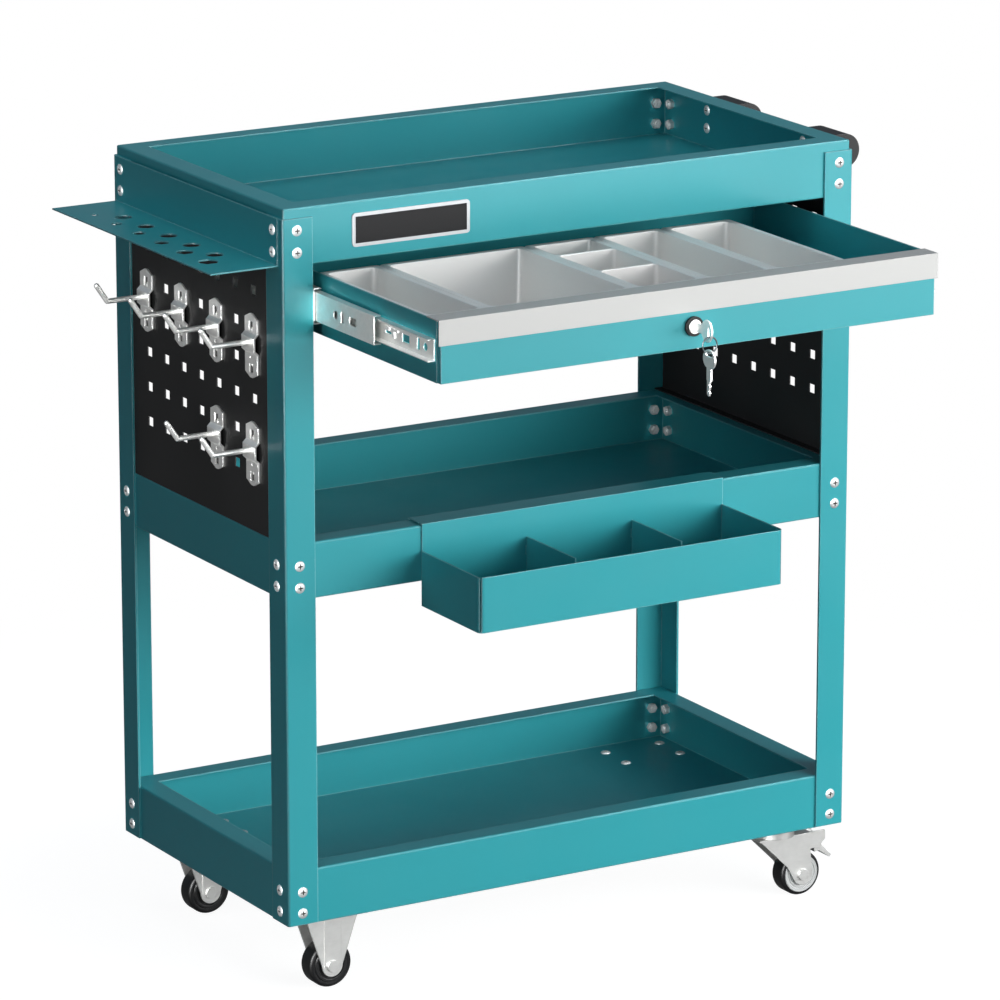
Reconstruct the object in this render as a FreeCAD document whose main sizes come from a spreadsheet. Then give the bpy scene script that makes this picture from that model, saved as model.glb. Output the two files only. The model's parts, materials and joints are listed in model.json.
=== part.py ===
# Rolling tool cart: angle posts and three folded trays on casters, with one drawer on
# ball slides, peg panels with hooks, a screwdriver rack, a side handle and a parts bin.
# Millimetres, +Z up, the floor at z = 0, the drawer side facing -Y.
import FreeCAD, Part
import math
import os
import Sketcher

from FreeCAD import Placement, Rotation, Vector

doc = FreeCAD.newDocument("tool_cart")
sheet = doc.addObject("Spreadsheet::Sheet", "Sizes")

SIZES = {
    # frame
    "cart_width": 688.0, "cart_depth": 374.0, "post_length": 750.0, "post_flange": 35.0,
    "post_thickness": 2.5, "post_bend": 3.0, "post_lift": 1.5,
    "tray_height": 60.0, "tray_wall": 1.5, "tray_rim": 25.0, "tray_pitch": 351.0, "tray_bend": 2.0,
    # bolts and nuts
    "bolt_radius": 3.0, "bolt_gap": 0.2, "bolt_head": 4.9, "bolt_head_height": 2.6, "bolt_length": 10.0,
    "bolt_below_rim": 23.0, "bolt_pitch": 23.0, "bolt_inset_front": 17.0, "bolt_inset_side": 18.5,
    "bolt_cross": 1.1, "nut_radius": 5.7, "nut_height": 5.0, "nut_gap": 0.1,
    # peg panels
    "panel_sheet": 1.2, "panel_lip": 12.0, "panel_gap": 0.5, "peg_hole": 10.0, "peg_row_pitch": 38.0,
    "peg_column_pitch": 39.0, "peg_first_row": 65.0, "peg_shift": -3.0,
    # hooks
    "hook_width": 26.5, "hook_height": 67.5, "hook_sheet": 2.0, "hook_step": 4.0, "hook_point": 5.0,
    "hook_crown": 2.4, "hook_below_row": 16.0, "hook_low_step": 26.0, "hook_high_step": 47.0,
    "hook_rod": 2.8, "hook_rod_height": 22.0, "hook_reach": 48.0, "hook_tip": 12.0, "hook_rise": 18.0,
    "hook_slot": 8.0, "hook_slot_height": 10.0, "hook_tab": 3.4, "hook_catch": 4.0, "hook_gap": 0.3,
    "hook_hole": 2.2, "hook_hole_rise": 7.3, "hook_shift": 2.5,
    # screwdriver rack
    "rack_inset": 8.5, "rack_sheet": 1.5, "rack_height": 50.0, "rack_reach": 77.0,
    "rack_hole_pitch": 51.0, "rack_outer_row": 53.0, "rack_inner_row": 32.0, "rack_hole": 9.0,
    "rack_first_hole": 4.0, "rack_hole_step": 1.4,
    # side handle
    "handle_stand": 33.0, "handle_nose": 18.5, "handle_below_rim": 27.5, "handle_inset": 65.0,
    "bracket_length": 52.0, "handle_tube": 10.0, "handle_wall": 1.5, "handle_socket": 40.0,
    "handle_bolt_rise": 10.0, "handle_gap": 0.1,
    # badge plate
    "badge_width": 137.5, "badge_height": 35.0, "badge_sheet": 1.6, "badge_x": -193.8,
    "badge_below_rim": 30.2, "badge_corner": 4.0, "badge_border": 4.0, "badge_step": 0.6,
    # drawer
    "drawer_open": 232.0, "drawer_rear_gap": 30.0, "drawer_height": 65.0,
    "drawer_wall": 1.2, "drawer_below_tray": 12.0, "front_depth": 6.0, "front_inset": 1.5,
    "strip_height": 26.3, "strip_proud": 1.8, "strip_overhang": 1.5, "strip_sheet": 1.2,
    "strip_back": 25.0,
    # slides
    "slide_web": 1.0, "slide_gap": 1.0, "slide_outer": 18.5, "slide_middle": 15.0, "slide_inner": 11.5,
    "slide_flange": 8.0, "slide_rear_gap": 24.0, "slide_middle_short": 10.0,
    "slide_inner_short": 12.0, "slide_drop": 32.0, "slide_space": 14.0, "slide_post_gap": 1.0,
    "slide_front": 1.0,
    "slide_middle_front": 4.0, "slide_inner_front": 9.0, "middle_hole_at": 79.0,
    "middle_slot_at": 65.0, "middle_window_at": 43.0, "inner_hole_at": 17.0, "inner_slot_at": 31.0,
    "inner_window_at": 56.0, "inner_catch_at": 90.0, "slide_hole": 4.0, "slide_slot": 5.0,
    "slide_slot_height": 12.0, "slide_window": 14.0, "slide_window_height": 8.0, "slide_catch": 4.0,
    "brace_sheet": 1.2, "brace_half": 22.5, "brace_inset": 9.5,
    # lock and keys
    "lock_height": 23.5, "collar_radius": 10.3, "collar_depth": 3.0, "barrel_radius": 8.0,
    "barrel_depth": 24.0, "plug_radius": 6.0, "plug_gap": 0.1, "plug_head": 7.2, "plug_head_depth": 0.8,
    "plug_tail": 3.0, "plug_tail_depth": 3.2, "lock_gap": 0.3, "lock_nut": 12.0, "lock_nut_depth": 4.0,
    "cam_length": 58.0, "cam_half": 6.0, "cam_sheet": 2.0, "cam_slot": 3.0, "key_thickness": 2.0,
    "key_gap": 0.2, "blade_half": 3.5, "blade_depth": 16.0, "shoulder": 12.0, "bow_length": 20.0,
    "bow_half": 11.5, "bow_corner": 9.5, "shoulder_step": 1.0, "key_slot": 2.2, "key_slot_half": 6.0,
    "key_hole_edge": 5.0, "key_lap": 4.0,
    "ring_radius": 8.5, "ring_wire": 0.8,
    # organiser trays
    "insert_height": 61.0, "insert_wall": 1.6, "insert_rim": 5.5, "insert_corner": 8.0,
    "insert_front": 27.7, "insert_length": 225.5, "insert_gap": 0.5, "insert_side": 0.4,
    "insert_one": 71.3, "insert_two": 171.0, "insert_three": 83.5, "insert_four": 81.5,
    "insert_five": 86.5, "insert_first_divider": 87.5, "insert_second_divider": 168.5,
    # parts bin
    "bin_width": 368.0, "bin_depth": 120.0, "bin_height": 59.0, "bin_sheet": 1.4, "bin_below_rim": 27.5,
    "bin_lap": 27.2, "bin_lip": 10.0, "bin_left_divider": -57.0, "bin_right_divider": 72.0,
    "bin_divider_length": 98.0, "bin_gap": 0.4, "bin_x": 1.0, "bin_corner": 6.0, "bin_tab": 8.0,
    "bin_root": 1.0,
    # casters
    "caster_height": 89.0, "wheel_radius": 25.0, "wheel_half": 11.0, "wheel_shoulder": 3.0,
    "hub_radius": 19.0, "hub_proud": 0.8, "axle_radius": 4.0, "axle_gap": 0.1, "axle_head": 6.4,
    "axle_head_height": 2.5, "fork_sheet": 2.0, "fork_gap": 1.6, "fork_end": 12.0, "fork_top": 33.0,
    "plate_half_x": 44.0, "plate_half_y": 30.0, "plate_sheet": 2.5, "plate_bolt_x": 36.0,
    "plate_bolt_y": 22.0, "caster_inset": 50.0, "rigid_inset": 71.0, "swivel_inset": 56.0, "trail": 28.5,
    "cup_radius": 26.0, "cup_height": 6.0, "race_radius": 22.0, "race_gap": 0.4, "fork_drop": 17.0,
    "kingpin_radius": 5.0, "kingpin_gap": 0.08, "kingpin_head": 9.0, "kingpin_head_height": 3.0,
    "fork_back": 28.0, "fork_front": 38.0, "fork_waist": 20.0, "fork_waist_rise": 11.0,
    "fork_heel": 11.0, "fork_heel_drop": 5.0, "fork_rib": 10.0, "fork_rib_step": 0.8,
    "brake_reach": 48.0, "brake_height": 62.0, "brake_pin": 2.5, "brake_pin_gap": 0.1,
    "brake_gap": 0.6, "brake_ear": 9.0,
}


class Size:
    """A length: its number now, and the expression that the document keeps for it."""

    def __init__(self, value, text):
        self.value = value
        self.text = text

    def __add__(self, other):
        other = size(other)
        return Size(self.value + other.value, f"({self.text} + {other.text})")

    def __sub__(self, other):
        other = size(other)
        return Size(self.value - other.value, f"({self.text} - {other.text})")

    def __mul__(self, other):
        other = size(other)
        return Size(self.value * other.value, f"({self.text} * {other.text})")

    def __truediv__(self, other):
        other = size(other)
        return Size(self.value / other.value, f"({self.text} / {other.text})")

    def __neg__(self):
        return Size(-self.value, f"(0 - {self.text})")

    def __radd__(self, other):
        return size(other) + self

    def __rsub__(self, other):
        return size(other) - self

    def __rmul__(self, other):
        return size(other) * self


def size(number):
    if isinstance(number, Size):
        return number
    return Size(float(number), f"({float(number)!r})")


for row, (alias, number) in enumerate(SIZES.items(), 1):
    sheet.set(f"A{row}", alias)
    sheet.set(f"B{row}", repr(number))
    sheet.setAlias(f"B{row}", alias)
doc.recompute()
S = type("Sizes", (), {alias: Size(number, f"Sizes.{alias}") for alias, number in SIZES.items()})

# Places that several pieces share
HALF_X = S.cart_width / 2
HALF_Y = S.cart_depth / 2
POST_Z = S.caster_height + S.post_lift
TRAY_X = HALF_X - S.post_thickness
TRAY_Y = HALF_Y - S.post_thickness
TRAY_Z = [S.caster_height + S.tray_pitch * level for level in range(3)]
RIM_Z = [base + S.tray_height for base in TRAY_Z]
BOLT_HOLE = S.bolt_radius + S.bolt_gap
BOLT_Z = [rim - S.bolt_below_rim - S.bolt_pitch * row for rim in RIM_Z for row in range(2)]
BOLT_X = HALF_X - S.bolt_inset_front
BOLT_Y = HALF_Y - S.bolt_inset_side
PEG_ROOM = HALF_Y - S.post_flange - S.hook_width / 2 + S.peg_shift - S.hook_shift
PEG_SIDE = int(PEG_ROOM.value / SIZES["peg_column_pitch"])
PEG_Y = [S.peg_shift + S.peg_column_pitch * column for column in range(-PEG_SIDE, PEG_SIDE + 1)]
PEG_Z = [RIM_Z[1] + S.peg_first_row + S.peg_row_pitch * row for row in range(6)]
DRAWER_TOP = TRAY_Z[2] - S.drawer_below_tray
DRAWER_Z = DRAWER_TOP - S.drawer_height
DRAWER_FACE = -HALF_Y - S.drawer_open + S.strip_proud
DRAWER_FRONT = DRAWER_FACE + S.front_depth
DRAWER_DEPTH = S.cart_depth - S.drawer_rear_gap
DRAWER_BACK = DRAWER_FACE + DRAWER_DEPTH
WALL_TOP = DRAWER_TOP - S.strip_sheet
SLIDE_X = HALF_X - S.post_flange - S.slide_post_gap
SLIDE_LENGTH = S.cart_depth - S.slide_rear_gap
DRAWER_HALF = SLIDE_X - S.slide_space
SLIDE_Z = DRAWER_TOP - S.slide_drop
LOCK_Z = DRAWER_Z + S.lock_height
PLUG_FACE = DRAWER_FACE - S.collar_depth - S.lock_gap - S.plug_head_depth
KEY_END = PLUG_FACE - S.shoulder - S.bow_length
KEY_HOLE = KEY_END + S.key_hole_edge
RING_TOP = LOCK_Z - S.key_slot_half + S.lock_gap + S.ring_wire
CAM_BACK = DRAWER_FACE + S.barrel_depth + S.lock_gap + S.cam_sheet
HANDLE_X = HALF_X + S.handle_stand
HANDLE_Z = RIM_Z[2] - S.handle_below_rim
HANDLE_HALF = HALF_Y - S.handle_inset
BRACKET_Y = HANDLE_HALF - S.bracket_length / 2
BIN_TOP = RIM_Z[1] - S.bin_below_rim
BIN_BACK = -TRAY_Y - S.bin_gap
PLATE_Z = S.caster_height - S.plate_sheet
FORK_Y = S.wheel_half + S.fork_gap
CASTER_Y = HALF_Y - S.caster_inset
CASTERS = [(S.rigid_inset - HALF_X, CASTER_Y * end) for end in (-1, 1)]
CASTERS += [(HALF_X - S.swivel_inset, CASTER_Y * end) for end in (-1, 1)]

# The origin is under the middle of the box that the cart fills with its drawer drawn.
SHIFT_X = (S.rack_reach - S.handle_stand - S.handle_nose) / 2
SHIFT_Y = (S.bow_half - KEY_HOLE - HALF_Y - S.bolt_head_height) / 2

counter = {"made": 0}
templates = []
nodes = {}


def fresh(kind, body=None):
    """A new object of the document, or a new feature of a body."""
    counter["made"] += 1
    name = f"step{counter['made']}"
    return body.newObject(kind, name) if body else doc.addObject(kind, name)


def bind(thing, path, length):
    """Gives a property its number and ties it to the sheet."""
    length = size(length)
    setattr(thing, path, length.value)
    if "Sizes." in length.text:
        thing.setExpression(path, length.text)


def stand(thing, place, rotation=None):
    """Puts an object at a place that stays tied to the sheet."""
    place = [size(length) for length in place]
    thing.Placement = Placement(Vector(*(length.value for length in place)), rotation or Rotation())
    for axis, length in zip("xyz", place):
        if "Sizes." in length.text:
            thing.setExpression(f"Placement.Base.{axis}", length.text)
    return thing


def ordered(side, near, far):
    """Two levels on one side of the cart's middle, the lower level first."""
    return (near, far) if side > 0 else (-size(far), -size(near))


def mirrored(side, points):
    """The same outline on the left (-1) or on the right (1)."""
    return [(side * size(a), b) for a, b in points]


def rectangle(a0, a1, b0, b1):
    return [(a0, b0), (a1, b0), (a1, b1), (a0, b1)]


def around(a, b, reach_a, reach_b):
    return rectangle(a - reach_a, a + reach_a, b - reach_b, b + reach_b)


def hexagon(a, b, radius):
    turns = [math.radians(60 * corner) for corner in range(6)]
    return [(a + radius * math.cos(turn), b + radius * math.sin(turn)) for turn in turns]


PLANE = {"x": "YZ_Plane", "y": "XZ_Plane", "z": "XY_Plane"}


def sketch_in(body, axis, level):
    """A sketch across an axis of its own body, at a level along that axis."""
    plane = next(item for item in body.Origin.OriginFeatures if item.Role == PLANE[axis])
    sketch = fresh("Sketcher::SketchObject", body)
    sketch.AttachmentSupport = [(plane, "")]
    sketch.MapMode = "FlatFace"
    offset = -size(level) if axis == "y" else size(level)
    sketch.AttachmentOffset = Placement(Vector(0, 0, offset.value), Rotation())
    if "Sizes." in offset.text:
        sketch.setExpression("AttachmentOffset.Base.z", offset.text)
    return sketch


def hold(sketch, kind, length, *places):
    """A measured constraint that follows the sheet."""
    length = size(length)
    index = sketch.addConstraint(Sketcher.Constraint(kind, *places, length.value))
    if "Sizes." in length.text:
        sketch.setExpression(f"Constraints[{index}]", length.text)


def draw(sketch, outlines, discs):
    """Draws closed outlines and (a, b, radius) circles, every point held from the origin."""
    for points in outlines:
        corners = [Vector(size(a).value, size(b).value, 0) for a, b in points]
        first = sketch.GeometryCount
        for corner, following in zip(corners, corners[1:] + corners[:1]):
            sketch.addGeometry(Part.LineSegment(corner, following))
        for index, (a, b) in enumerate(points):
            following = first + (index + 1) % len(points)
            sketch.addConstraint(Sketcher.Constraint("Coincident", first + index, 2, following, 1))
            hold(sketch, "DistanceX", a, -1, 1, first + index, 1)
            hold(sketch, "DistanceY", b, -1, 1, first + index, 1)
    for a, b, radius in discs:
        middle = Vector(size(a).value, size(b).value, 0)
        index = sketch.addGeometry(Part.Circle(middle, Vector(0, 0, 1), size(radius).value))
        hold(sketch, "DistanceX", a, -1, 1, index, 3)
        hold(sketch, "DistanceY", b, -1, 1, index, 3)
        hold(sketch, "Radius", radius, index)


def pad(body, axis, start, end, *outlines, discs=()):
    """Adds a prism across an axis, from start to end, to a body."""
    sketch = sketch_in(body, axis, start)
    draw(sketch, outlines, discs)
    feature = fresh("PartDesign::Pad", body)
    feature.Profile = sketch
    bind(feature, "Length", size(end) - start)
    feature.Reversed = axis == "y"
    doc.recompute()
    return feature


def pocket(body, axis, start, end, *outlines, discs=()):
    """Cuts a prism across an axis, from start to end, out of a body."""
    before = body.Shape.Volume
    sketch = sketch_in(body, axis, start)
    draw(sketch, outlines, discs)
    feature = fresh("PartDesign::Pocket", body)
    feature.Profile = sketch
    bind(feature, "Length", size(end) - start)
    feature.Reversed = axis != "y"
    doc.recompute()
    if body.Shape.Volume >= before - 1e-6:
        raise ValueError(f"{feature.Name} cuts nothing")
    return feature


def soften(body, kind, amount, wanted):
    """Rounds or bevels the edges of a body that pass the test."""
    chosen = [f"Edge{index}" for index, edge in enumerate(body.Shape.Edges, 1) if wanted(edge)]
    base = body.Tip
    feature = fresh(f"PartDesign::{kind}", body)
    feature.Base = (base, chosen)
    bind(feature, "Radius" if kind == "Fillet" else "Size", amount)
    doc.recompute()
    if not chosen or "Invalid" in feature.State:
        raise ValueError(f"{feature.Name} could not soften {len(chosen)} edges by {size(amount).value}")
    return feature


def runs(edge, axis):
    """Whether an edge is straight and runs along an axis."""
    if edge.Curve.TypeId != "Part::GeomLine":
        return False
    return abs(getattr(edge.tangentAt(edge.FirstParameter), axis)) > 0.999


def stands_at(edge, x, y):
    middle = edge.CenterOfMass
    return abs(middle.x - x.value) < 0.01 and abs(middle.y - y.value) < 0.01


def ring_edge(edge, radius):
    return edge.Curve.TypeId == "Part::GeomCircle" and abs(edge.Curve.Radius - size(radius).value) < 0.01


def new_body():
    return fresh("PartDesign::Body")


def template(body):
    """Sets a body aside as the pattern of several copies."""
    templates.append(body.Name)
    return body


def copies(pattern, places):
    """A group of copies; each place is a position with a rotation."""
    group = fresh("Part::Compound")
    links = []
    for place, rotation in places:
        link = fresh("App::Link")
        link.LinkedObject = pattern
        links.append(stand(link, place, rotation))
    group.Links = links
    return group


def node(name, thing):
    """Names a finished sub-part and moves it from the cart's middle to the part's frame."""
    thing.Label = name
    nodes[name] = stand(thing, (SHIFT_X, SHIFT_Y, size(0)))


SIDES = ((-1, "left"), (1, "right"))
ENDS = ((-1, "front"), (1, "rear"))

# Four angle posts, bolted to the corners of the trays
for side, side_name in SIDES:
    for end, end_name in ENDS:
        x, y = side * HALF_X, end * HALF_Y
        inner_x, inner_y = side * TRAY_X, end * TRAY_Y
        edge_x, edge_y = side * (HALF_X - S.post_flange), end * (HALF_Y - S.post_flange)
        body = new_body()
        pad(body, "z", POST_Z, POST_Z + S.post_length,
            [(x, y), (edge_x, y), (edge_x, inner_y), (inner_x, inner_y), (inner_x, edge_y), (x, edge_y)])
        soften(body, "Fillet", S.post_bend, lambda edge: runs(edge, "z") and stands_at(edge, x, y))
        across, along = ordered(end, TRAY_Y, HALF_Y), ordered(side, TRAY_X, HALF_X)
        pocket(body, "y", *across, discs=[(side * BOLT_X, z, BOLT_HOLE) for z in BOLT_Z])
        pocket(body, "x", *along, discs=[(end * BOLT_Y, z, BOLT_HOLE) for z in BOLT_Z])
        node(f"post_{end_name}_{side_name}", body)


# Three folded trays
HANDLE_BOLTS = [(end * BRACKET_Y, HANDLE_Z + rise * S.handle_bolt_rise)
                for end in (-1, 1) for rise in (-1, 1)]
PLATE_BOLTS = {(x, y): [(x + a * S.plate_bolt_x, y + b * S.plate_bolt_y) for a in (-1, 1) for b in (-1, 1)]
               for x, y in CASTERS}
CAM_SLOT_Y = CAM_BACK + S.drawer_open - S.cam_sheet / 2
for level, name in enumerate(("bottom_tray", "middle_tray", "top_tray")):
    low, high = TRAY_Z[level], RIM_Z[level]
    body = new_body()
    pad(body, "z", low, high, around(size(0), size(0), TRAY_X, TRAY_Y))
    soften(body, "Fillet", S.tray_bend, lambda edge: True)
    pocket(body, "z", low + S.tray_wall, high - S.tray_wall,
           around(size(0), size(0), TRAY_X - S.tray_wall, TRAY_Y - S.tray_wall))
    pocket(body, "z", high - S.tray_wall, high,
           around(size(0), size(0), TRAY_X - S.tray_rim, TRAY_Y - S.tray_rim))
    rows = BOLT_Z[2 * level:2 * level + 2]
    pocket(body, "y", -TRAY_Y, TRAY_Y,
           discs=[(side * BOLT_X, z, BOLT_HOLE) for side in (-1, 1) for z in rows])
    pocket(body, "x", -TRAY_X, TRAY_X,
           discs=[(end * BOLT_Y, z, BOLT_HOLE) for end in (-1, 1) for z in rows])
    if name == "bottom_tray":
        pocket(body, "z", low, low + S.tray_wall,
               discs=[(*place, BOLT_HOLE) for four in PLATE_BOLTS.values() for place in four])
    if name == "top_tray":
        pocket(body, "x", TRAY_X - S.tray_wall, TRAY_X, discs=[(y, z, BOLT_HOLE) for y, z in HANDLE_BOLTS])
        pocket(body, "z", low, low + S.tray_wall,
               rectangle(-S.cam_length / 2, S.cam_half + S.cam_slot,
                         CAM_SLOT_Y - S.cam_slot, CAM_SLOT_Y + S.cam_slot))
    node(name, body)


# Peg panels, each held by its own lips between the middle and the top tray
for side, side_name in SIDES:
    body = new_body()
    reach = TRAY_Y - S.panel_gap
    pad(body, "x", *ordered(side, TRAY_X - S.panel_sheet, TRAY_X),
        rectangle(-reach, reach, RIM_Z[1], TRAY_Z[2]))
    for low in (RIM_Z[1], TRAY_Z[2] - S.panel_sheet):
        pad(body, "z", low, low + S.panel_sheet,
            rectangle(*ordered(side, TRAY_X - S.panel_lip, TRAY_X - S.panel_sheet), -reach, reach))
    row = pocket(body, "x", *ordered(side, TRAY_X - S.panel_sheet, TRAY_X),
                 *[around(y, PEG_Z[0], S.peg_hole / 2, S.peg_hole / 2) for y in PEG_Y])
    pattern = fresh("PartDesign::LinearPattern", body)
    pattern.Originals = [row]
    pattern.Direction = (row.Profile[0], ["V_Axis"])
    pattern.Occurrences = len(PEG_Z)
    bind(pattern, "Length", S.peg_row_pitch * (len(PEG_Z) - 1))
    body.Tip = pattern
    node(f"peg_panel_{side_name}", body)


# Peg hooks: a stepped plate with two tabs that drop behind the panel, and a bent rod
FACE = -S.hook_gap
OUTSIDE = FACE - S.hook_sheet
STEP = FACE - S.hook_step
FOOT = -S.hook_below_row
CROWN = FOOT + S.hook_height
LOW_STEP = FOOT + S.hook_low_step
HIGH_STEP = FOOT + S.hook_high_step
LAP = S.hook_sheet / 4
body = new_body()
pad(body, "y", -S.hook_width / 2, S.hook_width / 2, [
    (FACE, FOOT), (FACE, LOW_STEP), (STEP, LOW_STEP + S.hook_step), (STEP, HIGH_STEP - S.hook_step),
    (FACE, HIGH_STEP), (FACE, CROWN), (OUTSIDE, CROWN), (OUTSIDE, HIGH_STEP + LAP),
    (STEP - S.hook_sheet, HIGH_STEP - S.hook_step + LAP),
    (STEP - S.hook_sheet, LOW_STEP + S.hook_step - LAP),
    (OUTSIDE, LOW_STEP - LAP), (OUTSIDE, FOOT)])
for side in (-1, 1):
    wide, slim = side * S.hook_width / 2, side * S.hook_crown
    pocket(body, "x", OUTSIDE, FACE,
           [(wide, FOOT), (wide, FOOT + S.hook_point), (slim, FOOT)],
           [(wide, CROWN), (wide, CROWN - S.hook_point), (slim, CROWN)])
REST = -S.peg_hole / 2 + S.hook_gap
BEHIND = S.panel_sheet + S.hook_gap
HIGH_TAB = S.peg_row_pitch + REST
TAB_TOP = REST + S.hook_tab
pocket(body, "x", OUTSIDE, FACE,
       rectangle(-S.hook_slot / 2, S.hook_slot / 2, HIGH_TAB, HIGH_TAB + S.hook_slot_height),
       rectangle(-S.hook_slot / 2, S.hook_slot / 2, TAB_TOP - S.hook_slot_height, TAB_TOP))
pocket(body, "x", OUTSIDE, FACE, discs=[(size(0), TAB_TOP + S.hook_hole_rise, S.hook_hole)])
for low, root in ((HIGH_TAB, HIGH_TAB - S.hook_tab / 2), (REST, TAB_TOP + S.hook_tab / 2)):
    pad(body, "y", -S.hook_tab / 2, S.hook_tab / 2, [
        (FACE, low), (FACE, low + S.hook_tab), (BEHIND + S.hook_sheet, low + S.hook_tab),
        (BEHIND + S.hook_sheet, low - S.hook_catch), (BEHIND, low - S.hook_catch), (BEHIND, low)])
    pad(body, "y", -S.hook_tab / 2, S.hook_tab / 2,
        rectangle(OUTSIDE, FACE, *sorted((root, low + S.hook_tab / 2), key=lambda level: level.value)))
pad(body, "x", -S.hook_reach, STEP - S.hook_sheet, discs=[(size(0), S.hook_rod_height, S.hook_rod)])
bent = fresh("Part::Cylinder")
bind(bent, "Radius", S.hook_rod)
bent.Height = math.hypot(SIZES["hook_tip"], SIZES["hook_rise"])
bent.setExpression("Height", "sqrt(Sizes.hook_tip ^ 2 + Sizes.hook_rise ^ 2)")
lean = Rotation(Vector(0, 0, 1), Vector(-SIZES["hook_tip"], 0, SIZES["hook_rise"]))
stand(bent, (-S.hook_reach, size(0), S.hook_rod_height), lean)
knuckle = fresh("Part::Sphere")
bind(knuckle, "Radius", S.hook_rod)
stand(knuckle, (-S.hook_reach, size(0), S.hook_rod_height))
end_ball = fresh("Part::Sphere")
bind(end_ball, "Radius", S.hook_rod)
stand(end_ball, (-S.hook_reach - S.hook_tip, size(0), S.hook_rod_height + S.hook_rise))
hook = fresh("Part::MultiFuse")
hook.Shapes = [body, bent, knuckle, end_ball]
template(hook)
# Each hook's column, in thirds of the way from the front one to the rear one, and its row
HOOKS = ((3, 3), (2, 3), (1, 3), (0, 3), (1, 0), (0, 0))
for number, (third, row) in enumerate(HOOKS, 1):
    column = round(third * 2 * PEG_SIDE / 3)
    hung = (-TRAY_X, PEG_Y[column] + S.hook_shift, PEG_Z[row])
    node(f"peg_hook_{number}", copies(hook, [(hung, Rotation())]))


# Screwdriver rack: a shelf with a back flange over the left posts
body = new_body()
RACK_X = -HALF_X
RACK_HALF = HALF_Y - S.rack_inset
SHELF_Z = TRAY_Z[2]
pad(body, "y", -RACK_HALF, RACK_HALF,
    [(RACK_X, SHELF_Z), (RACK_X, SHELF_Z + S.rack_height), (RACK_X - S.rack_sheet, SHELF_Z + S.rack_height),
     (RACK_X - S.rack_sheet, SHELF_Z + S.rack_sheet), (RACK_X - S.rack_reach, SHELF_Z + S.rack_sheet),
     (RACK_X - S.rack_reach, SHELF_Z)])
pocket(body, "x", RACK_X - S.rack_sheet, RACK_X,
       discs=[(end * BOLT_Y, z, BOLT_HOLE) for end in (-1, 1) for z in BOLT_Z[4:]])
outer_row = [(RACK_X - S.rack_outer_row, S.rack_hole_pitch * (2.5 - place),
              S.rack_first_hole + S.rack_hole_step * place) for place in range(6)]
inner_row = [(RACK_X - S.rack_inner_row, S.rack_hole_pitch * (2 - place), S.rack_hole) for place in range(5)]
pocket(body, "z", SHELF_Z, SHELF_Z + S.rack_sheet, *[hexagon(*hole) for hole in outer_row[3:]],
       discs=outer_row[:3] + inner_row)
node("screwdriver_rack", body)


# Side handle: a tube in two end brackets
for end, end_name in ENDS:
    near, far = ordered(end, HANDLE_HALF - S.bracket_length, HANDLE_HALF)
    body = new_body()
    pad(body, "y", near, far,
        rectangle(TRAY_X, HANDLE_X, HANDLE_Z - S.handle_nose, HANDLE_Z + S.handle_nose))
    pad(body, "y", near, far, discs=[(HANDLE_X, HANDLE_Z, S.handle_nose)])
    mouth = HANDLE_HALF - S.bracket_length
    socket = ordered(end, mouth, mouth + S.handle_socket)
    pocket(body, "y", *socket, discs=[(HANDLE_X, HANDLE_Z, S.handle_tube + S.handle_gap)])
    holes = [(y, z, BOLT_HOLE) for y, z in HANDLE_BOLTS if y.value * end > 0]
    pocket(body, "x", TRAY_X, TRAY_X + S.bolt_length, discs=holes)
    node(f"handle_bracket_{end_name}", body)
body = new_body()
reach = HANDLE_HALF - S.bracket_length + S.handle_socket
pad(body, "y", -reach, reach, discs=[(HANDLE_X, HANDLE_Z, S.handle_tube)])
pocket(body, "y", -reach, reach, discs=[(HANDLE_X, HANDLE_Z, S.handle_tube - S.handle_wall)])
node("handle_bar", body)


# Blank badge plate
body = new_body()
plate = (S.badge_x, RIM_Z[2] - S.badge_below_rim)
half = (S.badge_width / 2, S.badge_height / 2)
pad(body, "y", -TRAY_Y - S.badge_sheet, -TRAY_Y, around(*plate, *half))
soften(body, "Fillet", S.badge_corner, lambda edge: runs(edge, "y"))
pocket(body, "y", -TRAY_Y - S.badge_sheet, -TRAY_Y - S.badge_sheet + S.badge_step,
       around(*plate, half[0] - S.badge_border, half[1] - S.badge_border))
node("badge_plate", body)


# Drawer: a folded box, a front pan and the pull strip over it
body = new_body()
pad(body, "z", DRAWER_Z, WALL_TOP, rectangle(-DRAWER_HALF, DRAWER_HALF, DRAWER_FRONT, DRAWER_BACK))
pocket(body, "z", DRAWER_Z + S.drawer_wall, WALL_TOP,
       rectangle(S.drawer_wall - DRAWER_HALF, DRAWER_HALF - S.drawer_wall,
                 DRAWER_FRONT + S.drawer_wall, DRAWER_BACK - S.drawer_wall))
barrel_hole = [(size(0), LOCK_Z, S.barrel_radius + S.lock_gap)]
pocket(body, "y", DRAWER_FRONT, DRAWER_FRONT + S.drawer_wall, discs=barrel_hole)
node("drawer_box", body)

body = new_body()
half = DRAWER_HALF - S.front_inset
inner = half - S.drawer_wall
pad(body, "y", DRAWER_FACE, DRAWER_FRONT, rectangle(-half, half, DRAWER_Z, WALL_TOP))
pocket(body, "y", DRAWER_FACE + S.drawer_wall, DRAWER_FRONT,
       rectangle(-inner, inner, DRAWER_Z + S.drawer_wall, WALL_TOP - S.drawer_wall))
pocket(body, "y", DRAWER_FACE, DRAWER_FACE + S.drawer_wall, discs=barrel_hole)
node("drawer_front", body)

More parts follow.
